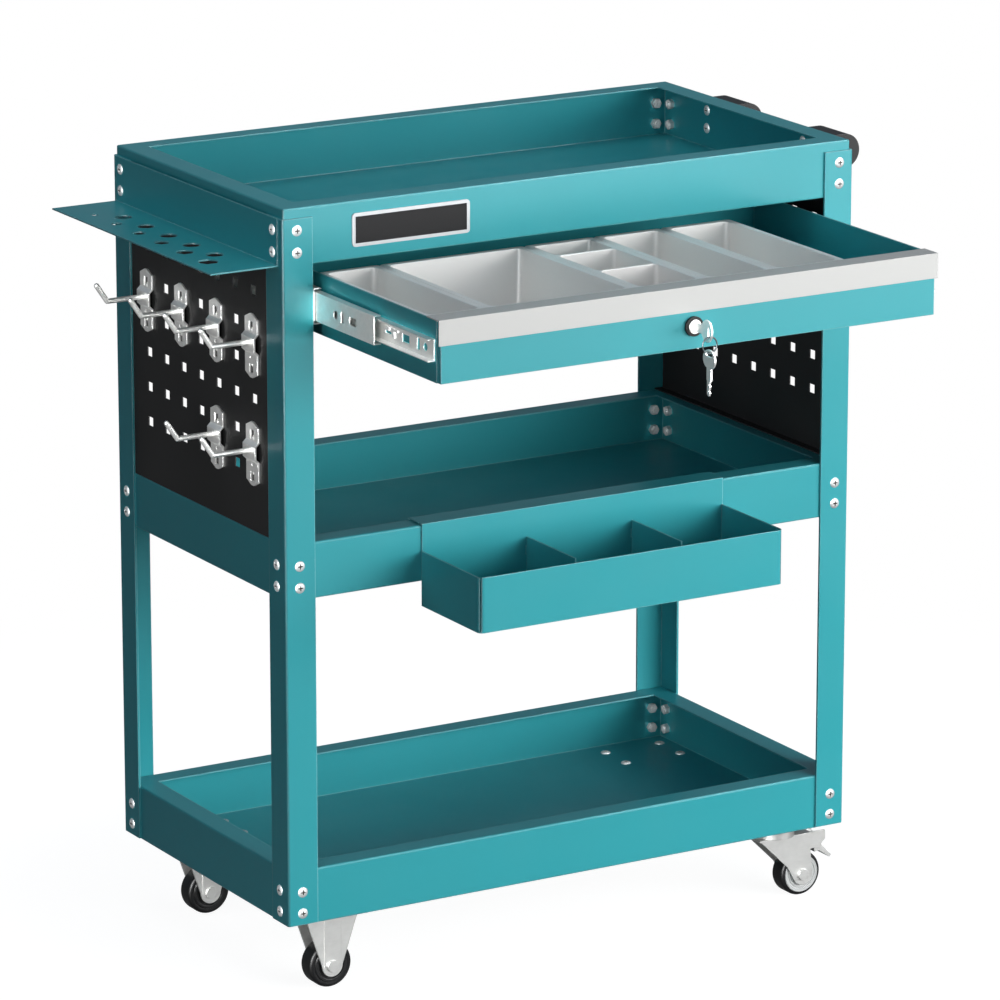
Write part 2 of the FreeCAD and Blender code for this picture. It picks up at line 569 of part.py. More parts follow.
body = new_body()
half = DRAWER_HALF + S.strip_overhang
STRIP_FACE = DRAWER_FACE - S.strip_proud
pad(body, "x", -half, half,
    [(STRIP_FACE, DRAWER_TOP - S.strip_height), (DRAWER_FACE, DRAWER_TOP - S.strip_height),
     (DRAWER_FACE, WALL_TOP), (STRIP_FACE + S.strip_back, WALL_TOP), (STRIP_FACE + S.strip_back, DRAWER_TOP),
     (STRIP_FACE, DRAWER_TOP)])
node("pull_strip", body)


# Drawer slides: three nested channels a side, the outer one on a brace between the posts
def channel(side, back, mouth, half, start, length):
    """A channel along Y whose web is at back and whose flanges end at mouth."""
    web = S.slide_web if mouth.value > back.value else -S.slide_web
    body = new_body()
    pad(body, "y", start, start + length, mirrored(side, [
        (back, SLIDE_Z - half), (mouth, SLIDE_Z - half), (mouth, SLIDE_Z - half + S.slide_web),
        (back + web, SLIDE_Z - half + S.slide_web), (back + web, SLIDE_Z + half - S.slide_web),
        (mouth, SLIDE_Z + half - S.slide_web), (mouth, SLIDE_Z + half), (back, SLIDE_Z + half)]))
    return body


for side, side_name in SIDES:
    body = new_body()
    far = SLIDE_X + S.brace_sheet
    edge = TRAY_X - S.brace_inset
    near_y = TRAY_Y - S.brace_sheet
    pad(body, "z", SLIDE_Z - S.brace_half, SLIDE_Z + S.brace_half, mirrored(side, [
        (SLIDE_X, -TRAY_Y), (edge, -TRAY_Y), (edge, -near_y), (far, -near_y),
        (far, near_y), (edge, near_y), (edge, TRAY_Y), (SLIDE_X, TRAY_Y)]))
    node(f"slide_brace_{side_name}", body)

    outer = channel(side, SLIDE_X, SLIDE_X - S.slide_web - S.slide_flange, S.slide_outer,
                    -HALF_Y + S.slide_front, SLIDE_LENGTH)
    node(f"slide_outer_{side_name}", outer)

    back = SLIDE_X - S.slide_web - S.slide_gap
    middle = channel(side, back, back - S.slide_flange, S.slide_middle,
                     -HALF_Y - S.slide_middle_front - S.drawer_open / 2, SLIDE_LENGTH - S.slide_middle_short)
    start = -HALF_Y - S.slide_middle_front - S.drawer_open / 2
    web = ordered(side, back - S.slide_web, back)
    pocket(middle, "x", *web, discs=[(start + S.middle_hole_at, SLIDE_Z, S.slide_hole)])
    pocket(middle, "x", *web,
           around(start + S.middle_slot_at, SLIDE_Z, S.slide_slot / 2, S.slide_slot_height / 2),
           around(start + S.middle_window_at, SLIDE_Z, S.slide_window / 2, S.slide_window_height / 2))
    node(f"slide_middle_{side_name}", middle)

    start = DRAWER_FACE + S.slide_inner_front
    inner = channel(side, DRAWER_HALF, DRAWER_HALF + S.slide_flange, S.slide_inner,
                    start, DRAWER_DEPTH - S.slide_inner_short)
    web = ordered(side, DRAWER_HALF, DRAWER_HALF + S.slide_web)
    pocket(inner, "x", *web, discs=[(start + S.inner_hole_at, SLIDE_Z, S.slide_hole)])
    pocket(inner, "x", *web,
           around(start + S.inner_slot_at, SLIDE_Z, S.slide_slot / 2, S.slide_slot_height / 2),
           around(start + S.inner_window_at, SLIDE_Z, S.slide_window / 2, S.slide_window_height / 2),
           around(start + S.inner_catch_at, SLIDE_Z, S.slide_window / 2, S.slide_catch / 2))
    node(f"slide_inner_{side_name}", inner)


# Lock in the drawer's front
BARREL_END = DRAWER_FACE + S.barrel_depth
body = new_body()
pad(body, "y", DRAWER_FACE - S.collar_depth, DRAWER_FACE, discs=[(size(0), LOCK_Z, S.collar_radius)])
pad(body, "y", DRAWER_FACE, BARREL_END, discs=[(size(0), LOCK_Z, S.barrel_radius)])
pocket(body, "y", DRAWER_FACE - S.collar_depth, BARREL_END,
       discs=[(size(0), LOCK_Z, S.plug_radius + S.plug_gap)])
node("lock_housing", body)

body = new_body()
near = DRAWER_FRONT + S.drawer_wall
pad(body, "y", near, near + S.lock_nut_depth, hexagon(size(0), LOCK_Z, S.lock_nut))
pocket(body, "y", near, near + S.lock_nut_depth, discs=[(size(0), LOCK_Z, S.barrel_radius + S.plug_gap)])
node("lock_nut", body)

body = new_body()
pad(body, "y", PLUG_FACE, PLUG_FACE + S.plug_head_depth, discs=[(size(0), LOCK_Z, S.plug_head)])
pad(body, "y", PLUG_FACE + S.plug_head_depth, BARREL_END, discs=[(size(0), LOCK_Z, S.plug_radius)])
pad(body, "y", BARREL_END, BARREL_END + S.plug_tail_depth, discs=[(size(0), LOCK_Z, S.plug_tail)])
keyway = around(size(0), LOCK_Z, S.key_thickness / 2 + S.key_gap, S.blade_half + S.key_gap)
pocket(body, "y", PLUG_FACE, PLUG_FACE + S.blade_depth + S.key_gap, keyway)
node("lock_plug", body)

body = new_body()
pad(body, "y", CAM_BACK - S.cam_sheet, CAM_BACK,
    rectangle(-S.cam_length, S.cam_half, LOCK_Z - S.cam_half, LOCK_Z + S.cam_half))
soften(body, "Fillet", S.cam_half / 2, lambda edge: runs(edge, "y"))
pocket(body, "y", CAM_BACK - S.cam_sheet, CAM_BACK, discs=[(size(0), LOCK_Z, S.plug_tail + S.plug_gap)])
node("lock_cam", body)


# Two keys on a split ring, drawn about the ring's hole in the bow
body = new_body()
bow_end = S.bow_length - S.key_hole_edge
shoulder_end = bow_end + S.shoulder
thick = (-S.key_thickness / 2, S.key_thickness / 2)
pad(body, "x", *thick, rectangle(-S.key_hole_edge, bow_end, -S.bow_half, S.bow_half))
soften(body, "Fillet", S.bow_corner, lambda edge: runs(edge, "x"))
wide = S.blade_half + S.shoulder_step
pad(body, "x", *thick, rectangle(bow_end - S.key_lap, shoulder_end, -wide, wide))
pad(body, "x", *thick,
    rectangle(shoulder_end - S.key_lap, shoulder_end + S.blade_depth, -S.blade_half, S.blade_half))
pocket(body, "x", *thick, around(size(0), size(0), S.key_slot, S.key_slot_half))
key = template(body)
RING_BOTTOM = RING_TOP - S.ring_radius * 2
SPARE_Z = RING_BOTTOM + S.ring_wire + S.lock_gap - S.key_slot
node("key", copies(key, [((size(0), KEY_HOLE, LOCK_Z), Rotation())]))
node("spare_key", copies(key, [((size(0), KEY_HOLE, SPARE_Z), Rotation(Vector(1, 0, 0), -90))]))
ring = fresh("Part::Torus")
bind(ring, "Radius1", S.ring_radius)
bind(ring, "Radius2", S.ring_wire)
template(ring)
upright = Rotation(Vector(1, 0, 0), 90)
node("key_ring", copies(ring, [((size(0), KEY_HOLE, RING_TOP - S.ring_radius), upright)]))


# Organiser trays standing side by side in the drawer
INSERT_Y = DRAWER_FACE + S.insert_front
INSERT_Z = DRAWER_Z + S.drawer_wall
INSERT_TOP = INSERT_Z + S.insert_height
left = S.drawer_wall + S.insert_side - DRAWER_HALF
WIDTHS = (S.insert_one, S.insert_two, S.insert_three, S.insert_four, S.insert_five)
for number, width in enumerate(WIDTHS, 1):
    right = left + width
    back = INSERT_Y + S.insert_length
    body = new_body()
    pad(body, "z", INSERT_Z, INSERT_TOP, rectangle(left + S.insert_rim, right - S.insert_rim,
                                                   INSERT_Y + S.insert_rim, back - S.insert_rim))
    soften(body, "Fillet", S.insert_corner, lambda edge: runs(edge, "z"))
    inset = S.insert_rim + S.insert_wall
    pad(body, "z", INSERT_TOP - S.insert_wall, INSERT_TOP, rectangle(left, right, INSERT_Y, back))
    soften(body, "Fillet", S.insert_corner / 2,
           lambda edge: runs(edge, "z") and edge.Length < SIZES["insert_wall"] + 0.01)
    walls = [INSERT_Y + inset, back - inset]
    if number == 3:
        walls[1:1] = [INSERT_Y + place + offset
                      for place in (S.insert_first_divider, S.insert_second_divider)
                      for offset in (-S.insert_wall / 2, S.insert_wall / 2)]
    hollows = [rectangle(left + inset, right - inset, walls[place], walls[place + 1])
               for place in range(0, len(walls), 2)]
    pocket(body, "z", INSERT_Z + S.insert_wall, INSERT_TOP, *hollows)
    node(f"organiser_tray_{number}", body)
    left = right + S.insert_gap


# Parts bin hooked over the middle tray's front rim, with two dividers
BIN_Z = BIN_TOP - S.bin_height
BIN_LEFT, BIN_RIGHT = S.bin_x - S.bin_width / 2, S.bin_x + S.bin_width / 2
BIN_FACE = BIN_BACK - S.bin_depth
HOOK_Z = RIM_Z[1] + S.bin_gap
body = new_body()
pad(body, "z", BIN_Z, BIN_TOP, rectangle(BIN_LEFT, BIN_RIGHT, BIN_FACE, BIN_BACK))
soften(body, "Fillet", S.bin_corner,
       lambda edge: runs(edge, "z") and abs(edge.CenterOfMass.y - BIN_FACE.value) < 0.01)
pocket(body, "z", BIN_Z + S.bin_sheet, BIN_TOP,
       rectangle(BIN_LEFT + S.bin_sheet, BIN_RIGHT - S.bin_sheet,
                 BIN_FACE + S.bin_sheet, BIN_BACK - S.bin_sheet))
pad(body, "x", BIN_LEFT, BIN_RIGHT, [
    (BIN_BACK - S.bin_sheet, BIN_TOP - S.bin_root), (BIN_BACK - S.bin_sheet, HOOK_Z + S.bin_sheet),
    (BIN_BACK + S.bin_lap, HOOK_Z + S.bin_sheet), (BIN_BACK + S.bin_lap, HOOK_Z - S.bin_lip),
    (BIN_BACK + S.bin_lap - S.bin_sheet, HOOK_Z - S.bin_lip), (BIN_BACK + S.bin_lap - S.bin_sheet, HOOK_Z),
    (BIN_BACK, HOOK_Z), (BIN_BACK, BIN_TOP - S.bin_root)])
DIVIDERS = (("left", S.bin_left_divider), ("right", S.bin_right_divider))
TAB_Z = BIN_TOP - S.bin_tab * 2
pocket(body, "y", BIN_BACK - S.bin_sheet, BIN_BACK,
       *[around(x, TAB_Z, S.bin_sheet / 2 + S.bin_gap, S.bin_tab / 2 + S.bin_gap) for name, x in DIVIDERS])
node("parts_bin", body)
for side_name, x in DIVIDERS:
    body = new_body()
    wall = BIN_BACK - S.bin_sheet - S.bin_gap
    foot = BIN_Z + S.bin_sheet + S.bin_gap
    crown = BIN_TOP - S.bin_sheet
    pad(body, "x", x - S.bin_sheet / 2, x + S.bin_sheet / 2, [
        (wall, foot), (wall, TAB_Z - S.bin_tab / 2), (BIN_BACK, TAB_Z - S.bin_tab / 2),
        (BIN_BACK, TAB_Z + S.bin_tab / 2), (wall, TAB_Z + S.bin_tab / 2), (wall, crown),
        (wall - S.bin_divider_length, crown), (wall - S.bin_divider_length, foot)])
    node(f"bin_divider_{side_name}", body)


# Casters: two rigid on the left, two swivelling with a brake on the right
def arms(body, x, y, outline):
    """Two fork arms with a round end about the axle, and the axle riveted through them."""
    for side in (-1, 1):
        near, far = ordered(side, FORK_Y, FORK_Y + S.fork_sheet)
        pad(body, "y", y + near, y + far, outline)
        pad(body, "y", y + near, y + far, discs=[(x, S.wheel_radius, S.fork_end)])
    reach = FORK_Y + S.fork_sheet
    pad(body, "y", y - reach, y + reach, discs=[(x, S.wheel_radius, S.axle_radius)])
    for side in (-1, 1):
        near, far = ordered(side, reach, reach + S.axle_head_height)
        pad(body, "y", y + near, y + far, discs=[(x, S.wheel_radius, S.axle_head)])


def ribs(body, x, y, start, end):
    """A pressed band down the outside of each fork arm."""
    for side in (-1, 1):
        near, far = ordered(side, FORK_Y + S.fork_sheet, FORK_Y + S.fork_sheet + S.fork_rib_step)
        pad(body, "y", y + near, y + far, rectangle(x - S.fork_rib, x + S.fork_rib, start, end))


wheel = new_body()
pad(wheel, "y", -S.wheel_half, S.wheel_half, discs=[(size(0), size(0), S.wheel_radius)])
soften(wheel, "Fillet", S.wheel_shoulder, lambda edge: ring_edge(edge, S.wheel_radius))
hub = S.wheel_half + S.hub_proud
pad(wheel, "y", -hub, hub, discs=[(size(0), size(0), S.hub_radius)])
pocket(wheel, "y", -hub, hub, discs=[(size(0), size(0), S.axle_radius + S.axle_gap)])
template(wheel)

for (x, y), (_, end_name) in zip(CASTERS[:2], ENDS):
    body = new_body()
    pad(body, "z", PLATE_Z, S.caster_height, around(x, y, S.plate_half_x, S.plate_half_y))
    soften(body, "Fillet", S.plate_sheet * 2, lambda edge: runs(edge, "z"))
    arms(body, x, y, [(x - S.fork_top, PLATE_Z), (x + S.fork_top, PLATE_Z),
                      (x + S.fork_end, S.wheel_radius), (x - S.fork_end, S.wheel_radius)])
    ribs(body, x, y, S.wheel_radius, PLATE_Z)
    holes = [(*place, BOLT_HOLE) for place in PLATE_BOLTS[x, y]]
    pocket(body, "z", PLATE_Z, S.caster_height, discs=holes)
    node(f"rigid_fork_{end_name}", body)
    node(f"wheel_{end_name}_left", copies(wheel, [((x, y, S.wheel_radius), Rotation())]))

# The pedal's outline about its pin, its toe hanging outwards
PEDAL = ((-5, -4), (-1, 5), (5, 4), (6, -8), (19, -21), (16.5, -23.5), (3, -13.5), (-3, -14.5))
CUP_Z = PLATE_Z - S.cup_height
FORK_TOP = S.caster_height - S.fork_drop
HEAD_TOP = FORK_TOP - S.fork_sheet - S.race_gap
for (x, y), (_, end_name) in zip(CASTERS[2:], ENDS):
    body = new_body()
    pad(body, "z", PLATE_Z, S.caster_height, around(x, y, S.plate_half_x, S.plate_half_y))
    soften(body, "Fillet", S.plate_sheet * 2, lambda edge: runs(edge, "z"))
    pad(body, "z", CUP_Z, PLATE_Z, discs=[(x, y, S.cup_radius)])
    pad(body, "z", HEAD_TOP, CUP_Z, discs=[(x, y, S.kingpin_radius)])
    pad(body, "z", HEAD_TOP - S.kingpin_head_height, HEAD_TOP, discs=[(x, y, S.kingpin_head)])
    holes = [(*place, BOLT_HOLE) for place in PLATE_BOLTS[x, y]]
    pocket(body, "z", CUP_Z, S.caster_height, discs=holes)
    node(f"swivel_plate_{end_name}", body)

    body = new_body()
    axle_x = x + S.trail
    reach = FORK_Y + S.fork_sheet
    ear_x = x + S.brake_reach
    pad(body, "z", FORK_TOP - S.fork_sheet, FORK_TOP,
        rectangle(x - S.fork_back, x + S.fork_front, y - reach, y + reach))
    pad(body, "z", FORK_TOP, CUP_Z - S.race_gap, discs=[(x, y, S.race_radius)])
    arms(body, axle_x, y, [
        (x - S.fork_back, FORK_TOP), (ear_x + S.brake_ear, FORK_TOP),
        (ear_x + S.brake_ear, S.brake_height), (ear_x, S.brake_height - S.brake_ear),
        (x + S.fork_front, S.brake_height - S.brake_ear), (axle_x + S.fork_end, S.wheel_radius),
        (axle_x - S.fork_heel, S.wheel_radius - S.fork_heel_drop),
        (axle_x - S.fork_waist, S.wheel_radius + S.fork_waist_rise)])
    pad(body, "y", y - reach, y + reach, discs=[(ear_x, S.brake_height, S.brake_pin)])
    pocket(body, "z", FORK_TOP - S.fork_sheet, CUP_Z - S.race_gap,
           discs=[(x, y, S.kingpin_radius + S.kingpin_gap)])
    node(f"swivel_fork_{end_name}", body)
    node(f"wheel_{end_name}_right", copies(wheel, [((axle_x, y, S.wheel_radius), Rotation())]))

    body = new_body()
    half = FORK_Y - S.brake_gap
    pad(body, "y", y - half, y + half, [(ear_x + a, S.brake_height + b) for a, b in PEDAL])
    pocket(body, "y", y - half, y + half, discs=[(ear_x, S.brake_height, S.brake_pin + S.brake_pin_gap)])
    node(f"brake_pedal_{end_name}", body)


# Bolts and nuts, each kind one group
bolt = new_body()
pad(bolt, "z", -S.bolt_length, size(0), discs=[(size(0), size(0), S.bolt_radius)])
pad(bolt, "z", size(0), S.bolt_head_height, discs=[(size(0), size(0), S.bolt_head)])
soften(bolt, "Chamfer", S.bolt_cross,
       lambda edge: ring_edge(edge, S.bolt_head) and edge.CenterOfMass.z > SIZES["bolt_head_height"] / 2)
for reach_a, reach_b in ((S.bolt_cross / 2, S.bolt_head / 2), (S.bolt_head / 2, S.bolt_cross / 2)):
    pocket(bolt, "z", S.bolt_head_height / 2, S.bolt_head_height, around(size(0), size(0), reach_a, reach_b))
template(bolt)
nut = new_body()
pad(nut, "z", -S.nut_height, size(0), hexagon(size(0), size(0), S.nut_radius))
pocket(nut, "z", -S.nut_height, size(0), discs=[(size(0), size(0), S.bolt_radius + S.nut_gap)])
template(nut)


def facing(x, y, z):
    return Rotation(Vector(0, 0, 1), Vector(x, y, z))


bolts, nuts = [], []
for z in BOLT_Z:
    for side in (-1, 1):
        for end in (-1, 1):
            bolts.append(((side * BOLT_X, end * HALF_Y, z), facing(0, end, 0)))
            nuts.append(((side * BOLT_X, end * (TRAY_Y - S.tray_wall), z), facing(0, end, 0)))
            face = HALF_X + S.rack_sheet if side < 0 and z.value > SHELF_Z.value else HALF_X
            bolts.append(((side * face, end * BOLT_Y, z), facing(side, 0, 0)))
            nuts.append(((side * (TRAY_X - S.tray_wall), end * BOLT_Y, z), facing(side, 0, 0)))
for x, y in [place for four in PLATE_BOLTS.values() for place in four]:
    bolts.append(((x, y, S.caster_height + S.tray_wall), facing(0, 0, 1)))
    nuts.append(((x, y, PLATE_Z), facing(0, 0, 1)))
for y, z in HANDLE_BOLTS:
    bolts.append(((TRAY_X - S.tray_wall, y, z), facing(-1, 0, 0)))
node("frame_bolts", copies(bolt, bolts))
node("frame_nuts", copies(nut, nuts))


# Check everything, then write the sub-parts
doc.recompute()
for thing in doc.Objects:
    if "Invalid" in thing.State or "Error" in thing.State:
        raise ValueError(f"{thing.Label} did not build: {thing.State}")
for name, thing in nodes.items():
    if thing.Shape.isNull() or not thing.Shape.isValid() or not thing.Shape.Solids:
        raise ValueError(f"{name} is not a valid solid")
os.makedirs("parts", exist_ok=True)
for name, thing in nodes.items():
    thing.Shape.exportStep(f"parts/{name}.step")
print(len(nodes), "sub-parts written")
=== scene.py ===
import json
import math

import bmesh
import bpy
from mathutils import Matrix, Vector


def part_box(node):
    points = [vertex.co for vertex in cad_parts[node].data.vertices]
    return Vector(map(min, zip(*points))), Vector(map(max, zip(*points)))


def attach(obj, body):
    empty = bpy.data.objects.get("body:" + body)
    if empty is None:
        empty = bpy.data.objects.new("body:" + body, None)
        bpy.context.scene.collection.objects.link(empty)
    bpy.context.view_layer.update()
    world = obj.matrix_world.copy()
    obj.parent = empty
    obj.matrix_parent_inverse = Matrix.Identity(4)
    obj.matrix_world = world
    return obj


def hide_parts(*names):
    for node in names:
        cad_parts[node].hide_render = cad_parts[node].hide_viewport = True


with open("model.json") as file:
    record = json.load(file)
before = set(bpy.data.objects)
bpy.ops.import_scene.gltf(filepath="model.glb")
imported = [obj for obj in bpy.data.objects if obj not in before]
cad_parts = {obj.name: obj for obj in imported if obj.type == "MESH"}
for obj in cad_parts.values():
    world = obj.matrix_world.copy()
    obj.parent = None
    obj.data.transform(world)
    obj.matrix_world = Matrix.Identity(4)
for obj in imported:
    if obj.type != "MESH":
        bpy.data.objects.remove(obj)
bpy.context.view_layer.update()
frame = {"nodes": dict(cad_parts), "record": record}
nodes = frame["nodes"]
print("stage: frame loaded,", len(nodes), "parts")


# a shader socket that takes part in plain expressions
class Value:
    def __init__(self, shader, socket):
        self.shader = shader
        self.socket = socket

    def math(self, operation, first, second):
        return self.shader.make("ShaderNodeMath", {"operation": operation}, {0: first, 1: second})

    def __add__(self, other):
        return self.math("ADD", self, other)

    def __radd__(self, other):
        return self.math("ADD", other, self)

    def __sub__(self, other):
        return self.math("SUBTRACT", self, other)

    def __rsub__(self, other):
        return self.math("SUBTRACT", other, self)

    def __mul__(self, other):
        return self.math("MULTIPLY", self, other)

    def __rmul__(self, other):
        return self.math("MULTIPLY", other, self)

    def __gt__(self, other):
        return self.math("GREATER_THAN", self, other)

    def __lt__(self, other):
        return self.math("LESS_THAN", self, other)


edgeMask = {"samples": 4, "flat": 0.998, "gain": 14.0}


class Shader:
    def __init__(self, name, color, roughness, metallic=0.0, **fixed):
        self.material = bpy.data.materials.new(name)
        self.material.use_nodes = True
        self.tree = self.material.node_tree
        self.surface = next(n for n in self.tree.nodes if n.type == "BSDF_PRINCIPLED")
        self.surface.inputs["Base Color"].default_value = (*color, 1)
        self.surface.inputs["Roughness"].default_value = roughness
        self.surface.inputs["Metallic"].default_value = metallic
        for socket, value in fixed.items():
            self.surface.inputs[socket.replace("_", " ")].default_value = value
        self.material.diffuse_color = (*color, 1)
        self.place = self.make("ShaderNodeTexCoord", output="Object")

    def make(self, kind, settings=None, inputs=None, output=0):
        node = self.tree.nodes.new(kind)
        for name, value in (settings or {}).items():
            if name == "stops":
                ramp = node.color_ramp.elements
                for index, (position, level) in enumerate(value):
                    stop = ramp[index] if index < len(ramp) else ramp.new(position)
                    stop.position = position
                    stop.color = (level, level, level, 1)
            else:
                setattr(node, name, value)
        for socket, value in (inputs or {}).items():
            if isinstance(value, Value):
                self.tree.links.new(value.socket, node.inputs[socket])
            else:
                node.inputs[socket].default_value = value
        return Value(self, node.outputs[output])

    def set(self, socket, value):
        self.tree.links.new(value.socket, self.surface.inputs[socket])

    def noise(self, scale, detail=3.0, stretch=(1, 1, 1), roughness=0.5):
        spot = self.make("ShaderNodeMapping", {}, {"Vector": self.place, "Scale": stretch})
        return self.make("ShaderNodeTexNoise", {}, {
            "Vector": spot, "Scale": scale, "Detail": detail, "Roughness": roughness})

    def ramp(self, value, low, high):
        return self.make("ShaderNodeValToRGB", {"stops": ((low, 0.0), (high, 1.0))}, {0: value})

    def blend(self, factor, first, second):
        first = first if isinstance(first, Value) else (*first, 1)
        second = second if isinstance(second, Value) else (*second, 1)
        return self.make("ShaderNodeMix", {"data_type": "RGBA"}, {0: factor, 6: first, 7: second}, output=2)

    def axis(self, name):
        return self.make("ShaderNodeSeparateXYZ", {}, {0: self.place}, output=name)

    # the rounded normal, and a mask that is 1 on edges and 0 on flat places
    def edges(self, radius):
        rounded = self.make("ShaderNodeBevel", {"samples": edgeMask["samples"]}, {"Radius": radius})
        sharp = self.make("ShaderNodeNewGeometry", output="Normal")
        facing = self.make("ShaderNodeVectorMath", {"operation": "DOT_PRODUCT"}, {0: rounded, 1: sharp},
                           output="Value")
        return rounded, self.make("ShaderNodeMath", {"operation": "MULTIPLY", "use_clamp": True}, {
            0: edgeMask["flat"] - facing, 1: edgeMask["gain"]})

    def bump(self, height, depth, normal):
        self.set("Normal", self.make("ShaderNodeBump", {}, {
            "Strength": 1.0, "Distance": depth, "Height": height, "Normal": normal}))


def toned(color, factor, lift=0.0):
    return tuple(min(1, channel * factor + lift) for channel in color)


def powderCoat(name, color, look):
    paint = Shader(name, color, look["roughness"], Specular_IOR_Level=look["specular"])
    rounded, edge = paint.edges(look["edgeRadius"])
    drift = paint.noise(look["driftScale"], 2.0)
    body = paint.blend(drift, toned(color, 1 - look["drift"]), toned(color, 1 + look["drift"]))
    # edges blend toward a pale cyan tone: a painted highlight along folds and edges
    paintedEdgeHighlight = tuple(channel * 0.5 + 0.5 * tone for channel, tone in zip(color, look["edgeHighlightTone"]))
    paint.set("Base Color", paint.blend(edge * look["edgeHighlight"], body, paintedEdgeHighlight))
    smudge = paint.ramp(paint.noise(look["smudgeScale"], 4.0), *look["smudgeRange"])
    paint.set("Roughness", look["roughness"] + smudge * look["smudge"] - edge * look["edgeShine"])
    peel = paint.noise(look["peelScale"], 2.0)
    paint.bump(peel, look["peelDepth"], rounded)
    return paint.material


def sheetMetal(name, color, look):
    metal = Shader(name, color, look["roughness"], look["metallic"])
    rounded, edge = metal.edges(look["edgeRadius"])
    grain = metal.noise(look["grainScale"], 3.0, look["grain"])
    spangle = metal.noise(look["spangleScale"], 2.0)
    shade, shine = toned(color, 1 - look["contrast"]), toned(color, 1 + look["contrast"])
    body = metal.blend(grain * 0.5 + spangle * 0.5, shade, shine)
    # edges blend toward a lighter tone: a painted highlight along edges
    metal.set("Base Color", metal.blend(edge * look["edgeHighlight"], body, toned(color, look["edgeHighlightTone"])))
    smooth = look["roughness"] - look["sheen"] / 2
    rough = smooth + grain * look["sheen"] + spangle * look["spangleRough"]
    metal.set("Roughness", rough - edge * look["edgeShine"])
    metal.bump(grain, look["grainDepth"], rounded)
    return metal.material


def mouldedPlastic(name, color, look):
    plastic = Shader(name, color, look["roughness"], Specular_IOR_Level=look["specular"])
    rounded, edge = plastic.edges(look["edgeRadius"])
    cloud = plastic.noise(look["cloudScale"], 2.0)
    body = plastic.blend(cloud, toned(color, 1 - look["cloud"]), color)
    # edges lifted toward a lighter tone: a painted highlight along edges
    bright = toned(color, look["edgeHighlightTone"], look["edgeLift"])
    plastic.set("Base Color", plastic.blend(edge * look["edgeHighlight"], body, bright))
    texture = plastic.noise(look["textureScale"], 2.0)
    smooth = look["roughness"] - look["grit"] / 2
    plastic.set("Roughness", smooth + texture * look["grit"] + cloud * look["cloudRough"])
    plastic.bump(texture, look["textureDepth"], rounded)
    return plastic.material


# the edge tone and its share in these tables set a painted highlight along edges
paintLook = {"roughness": 0.29, "specular": 0.28, "edgeRadius": 0.0015, "edgeHighlightTone": (0.62, 1.0, 1.0),
             "edgeHighlight": 0.9, "edgeShine": 0.06, "driftScale": 5.0, "drift": 0.05, "smudgeScale": 14.0,
             "smudgeRange": (0.35, 0.75), "smudge": 0.08, "peelScale": 1400.0, "peelDepth": 0.00002}
panelLook = dict(paintLook, roughness=0.5, specular=0.22, edgeHighlightTone=(0.25, 0.25, 0.25), edgeHighlight=0.4,
                 peelScale=1800.0)
zincLook = {"roughness": 0.36, "metallic": 0.9, "edgeRadius": 0.0006, "edgeHighlightTone": 1.25, "edgeHighlight": 0.6,
            "edgeShine": 0.05, "grainScale": 60.0, "grain": (1, 12, 12), "grainDepth": 0.00001,
            "spangleScale": 160.0, "spangleRough": 0.08, "contrast": 0.12, "sheen": 0.12}
boltZincLook = dict(zincLook, roughness=0.5, metallic=0.75, edgeRadius=0.0003)
nickelLook = dict(zincLook, roughness=0.34, metallic=0.7, contrast=0.05)
stripLook = dict(zincLook, roughness=0.46, metallic=0.12, grainScale=90.0, grain=(0.4, 14, 14),
                 grainDepth=0.000004, spangleScale=30.0, contrast=0.025)
plasticLook = {"roughness": 0.42, "specular": 0.5, "edgeRadius": 0.0008, "edgeHighlightTone": 1.12, "edgeLift": 0.01,
               "edgeHighlight": 0.5, "cloudScale": 9.0, "cloud": 0.06, "cloudRough": 0.04, "textureScale": 2200.0,
               "textureDepth": 0.00001, "grit": 0.08}

tealColor = (0.036, 0.380, 0.425)
finishes = {
    "teal_paint": powderCoat("tealPowderCoat", tealColor, paintLook),
    "black_paint": powderCoat("blackPowderCoat", (0.007, 0.007, 0.008), panelLook),
    "zinc": sheetMetal("zincPlate", (0.86, 0.86, 0.84), zincLook),
    "bolt_zinc": sheetMetal("boltZinc", (0.58, 0.59, 0.59), boltZincLook),
    # zinc painted darker for the casters, to offset the strong key lamp on their front faces: painted shade
    "caster_zinc_shaded": sheetMetal("casterZincShaded", (0.60, 0.60, 0.585), dict(zincLook, roughness=0.40)),
    "strip_metal": sheetMetal("stripMetal", (0.50, 0.50, 0.485), stripLook),
    "chrome": sheetMetal("tubeChrome", (0.78, 0.78, 0.78), dict(zincLook, roughness=0.12, contrast=0.04)),
    "nickel": sheetMetal("satinNickel", (0.86, 0.86, 0.84), nickelLook),
    "black_plastic": mouldedPlastic("blackPlastic", (0.008, 0.008, 0.009), dict(plasticLook, specular=0.28)),
    "white_plastic": mouldedPlastic("whitePlastic", (0.93, 0.905, 0.875), dict(plasticLook, roughness=0.38)),
    "hub": mouldedPlastic("hubPlastic", (0.58, 0.59, 0.58), dict(plasticLook, roughness=0.45)),
    "black_hub": mouldedPlastic("blackHubPlastic", (0.010, 0.010, 0.011), dict(plasticLook, roughness=0.30)),
    "tyre": mouldedPlastic("tyreRubber", (0.006, 0.006, 0.007),
                           dict(plasticLook, roughness=0.38, specular=0.3)),
    # dark fill for the bolts' cross recesses: painted shade
    "recess": mouldedPlastic("boltRecessShade", (0.035, 0.022, 0.018), dict(plasticLook, roughness=0.7)),
    "ring": sheetMetal("darkRingSteel", (0.10, 0.12, 0.13),
                       dict(zincLook, roughness=0.30, edgeRadius=0.0002)),
}

badgeLook = {"border": 0.0036, "rimTone": (0.42, 0.43, 0.44), "rimMetal": 0.6, "enamel": (0.006, 0.006, 0.007),
             "dark": (0.004, 0.004, 0.005), "light": (0.008, 0.008, 0.009), "specular": 0.2, "roughness": 0.48,
             "speckScale": 900.0, "speckRough": 0.06, "speckDepth": 0.000006, "edgeRadius": 0.0005}


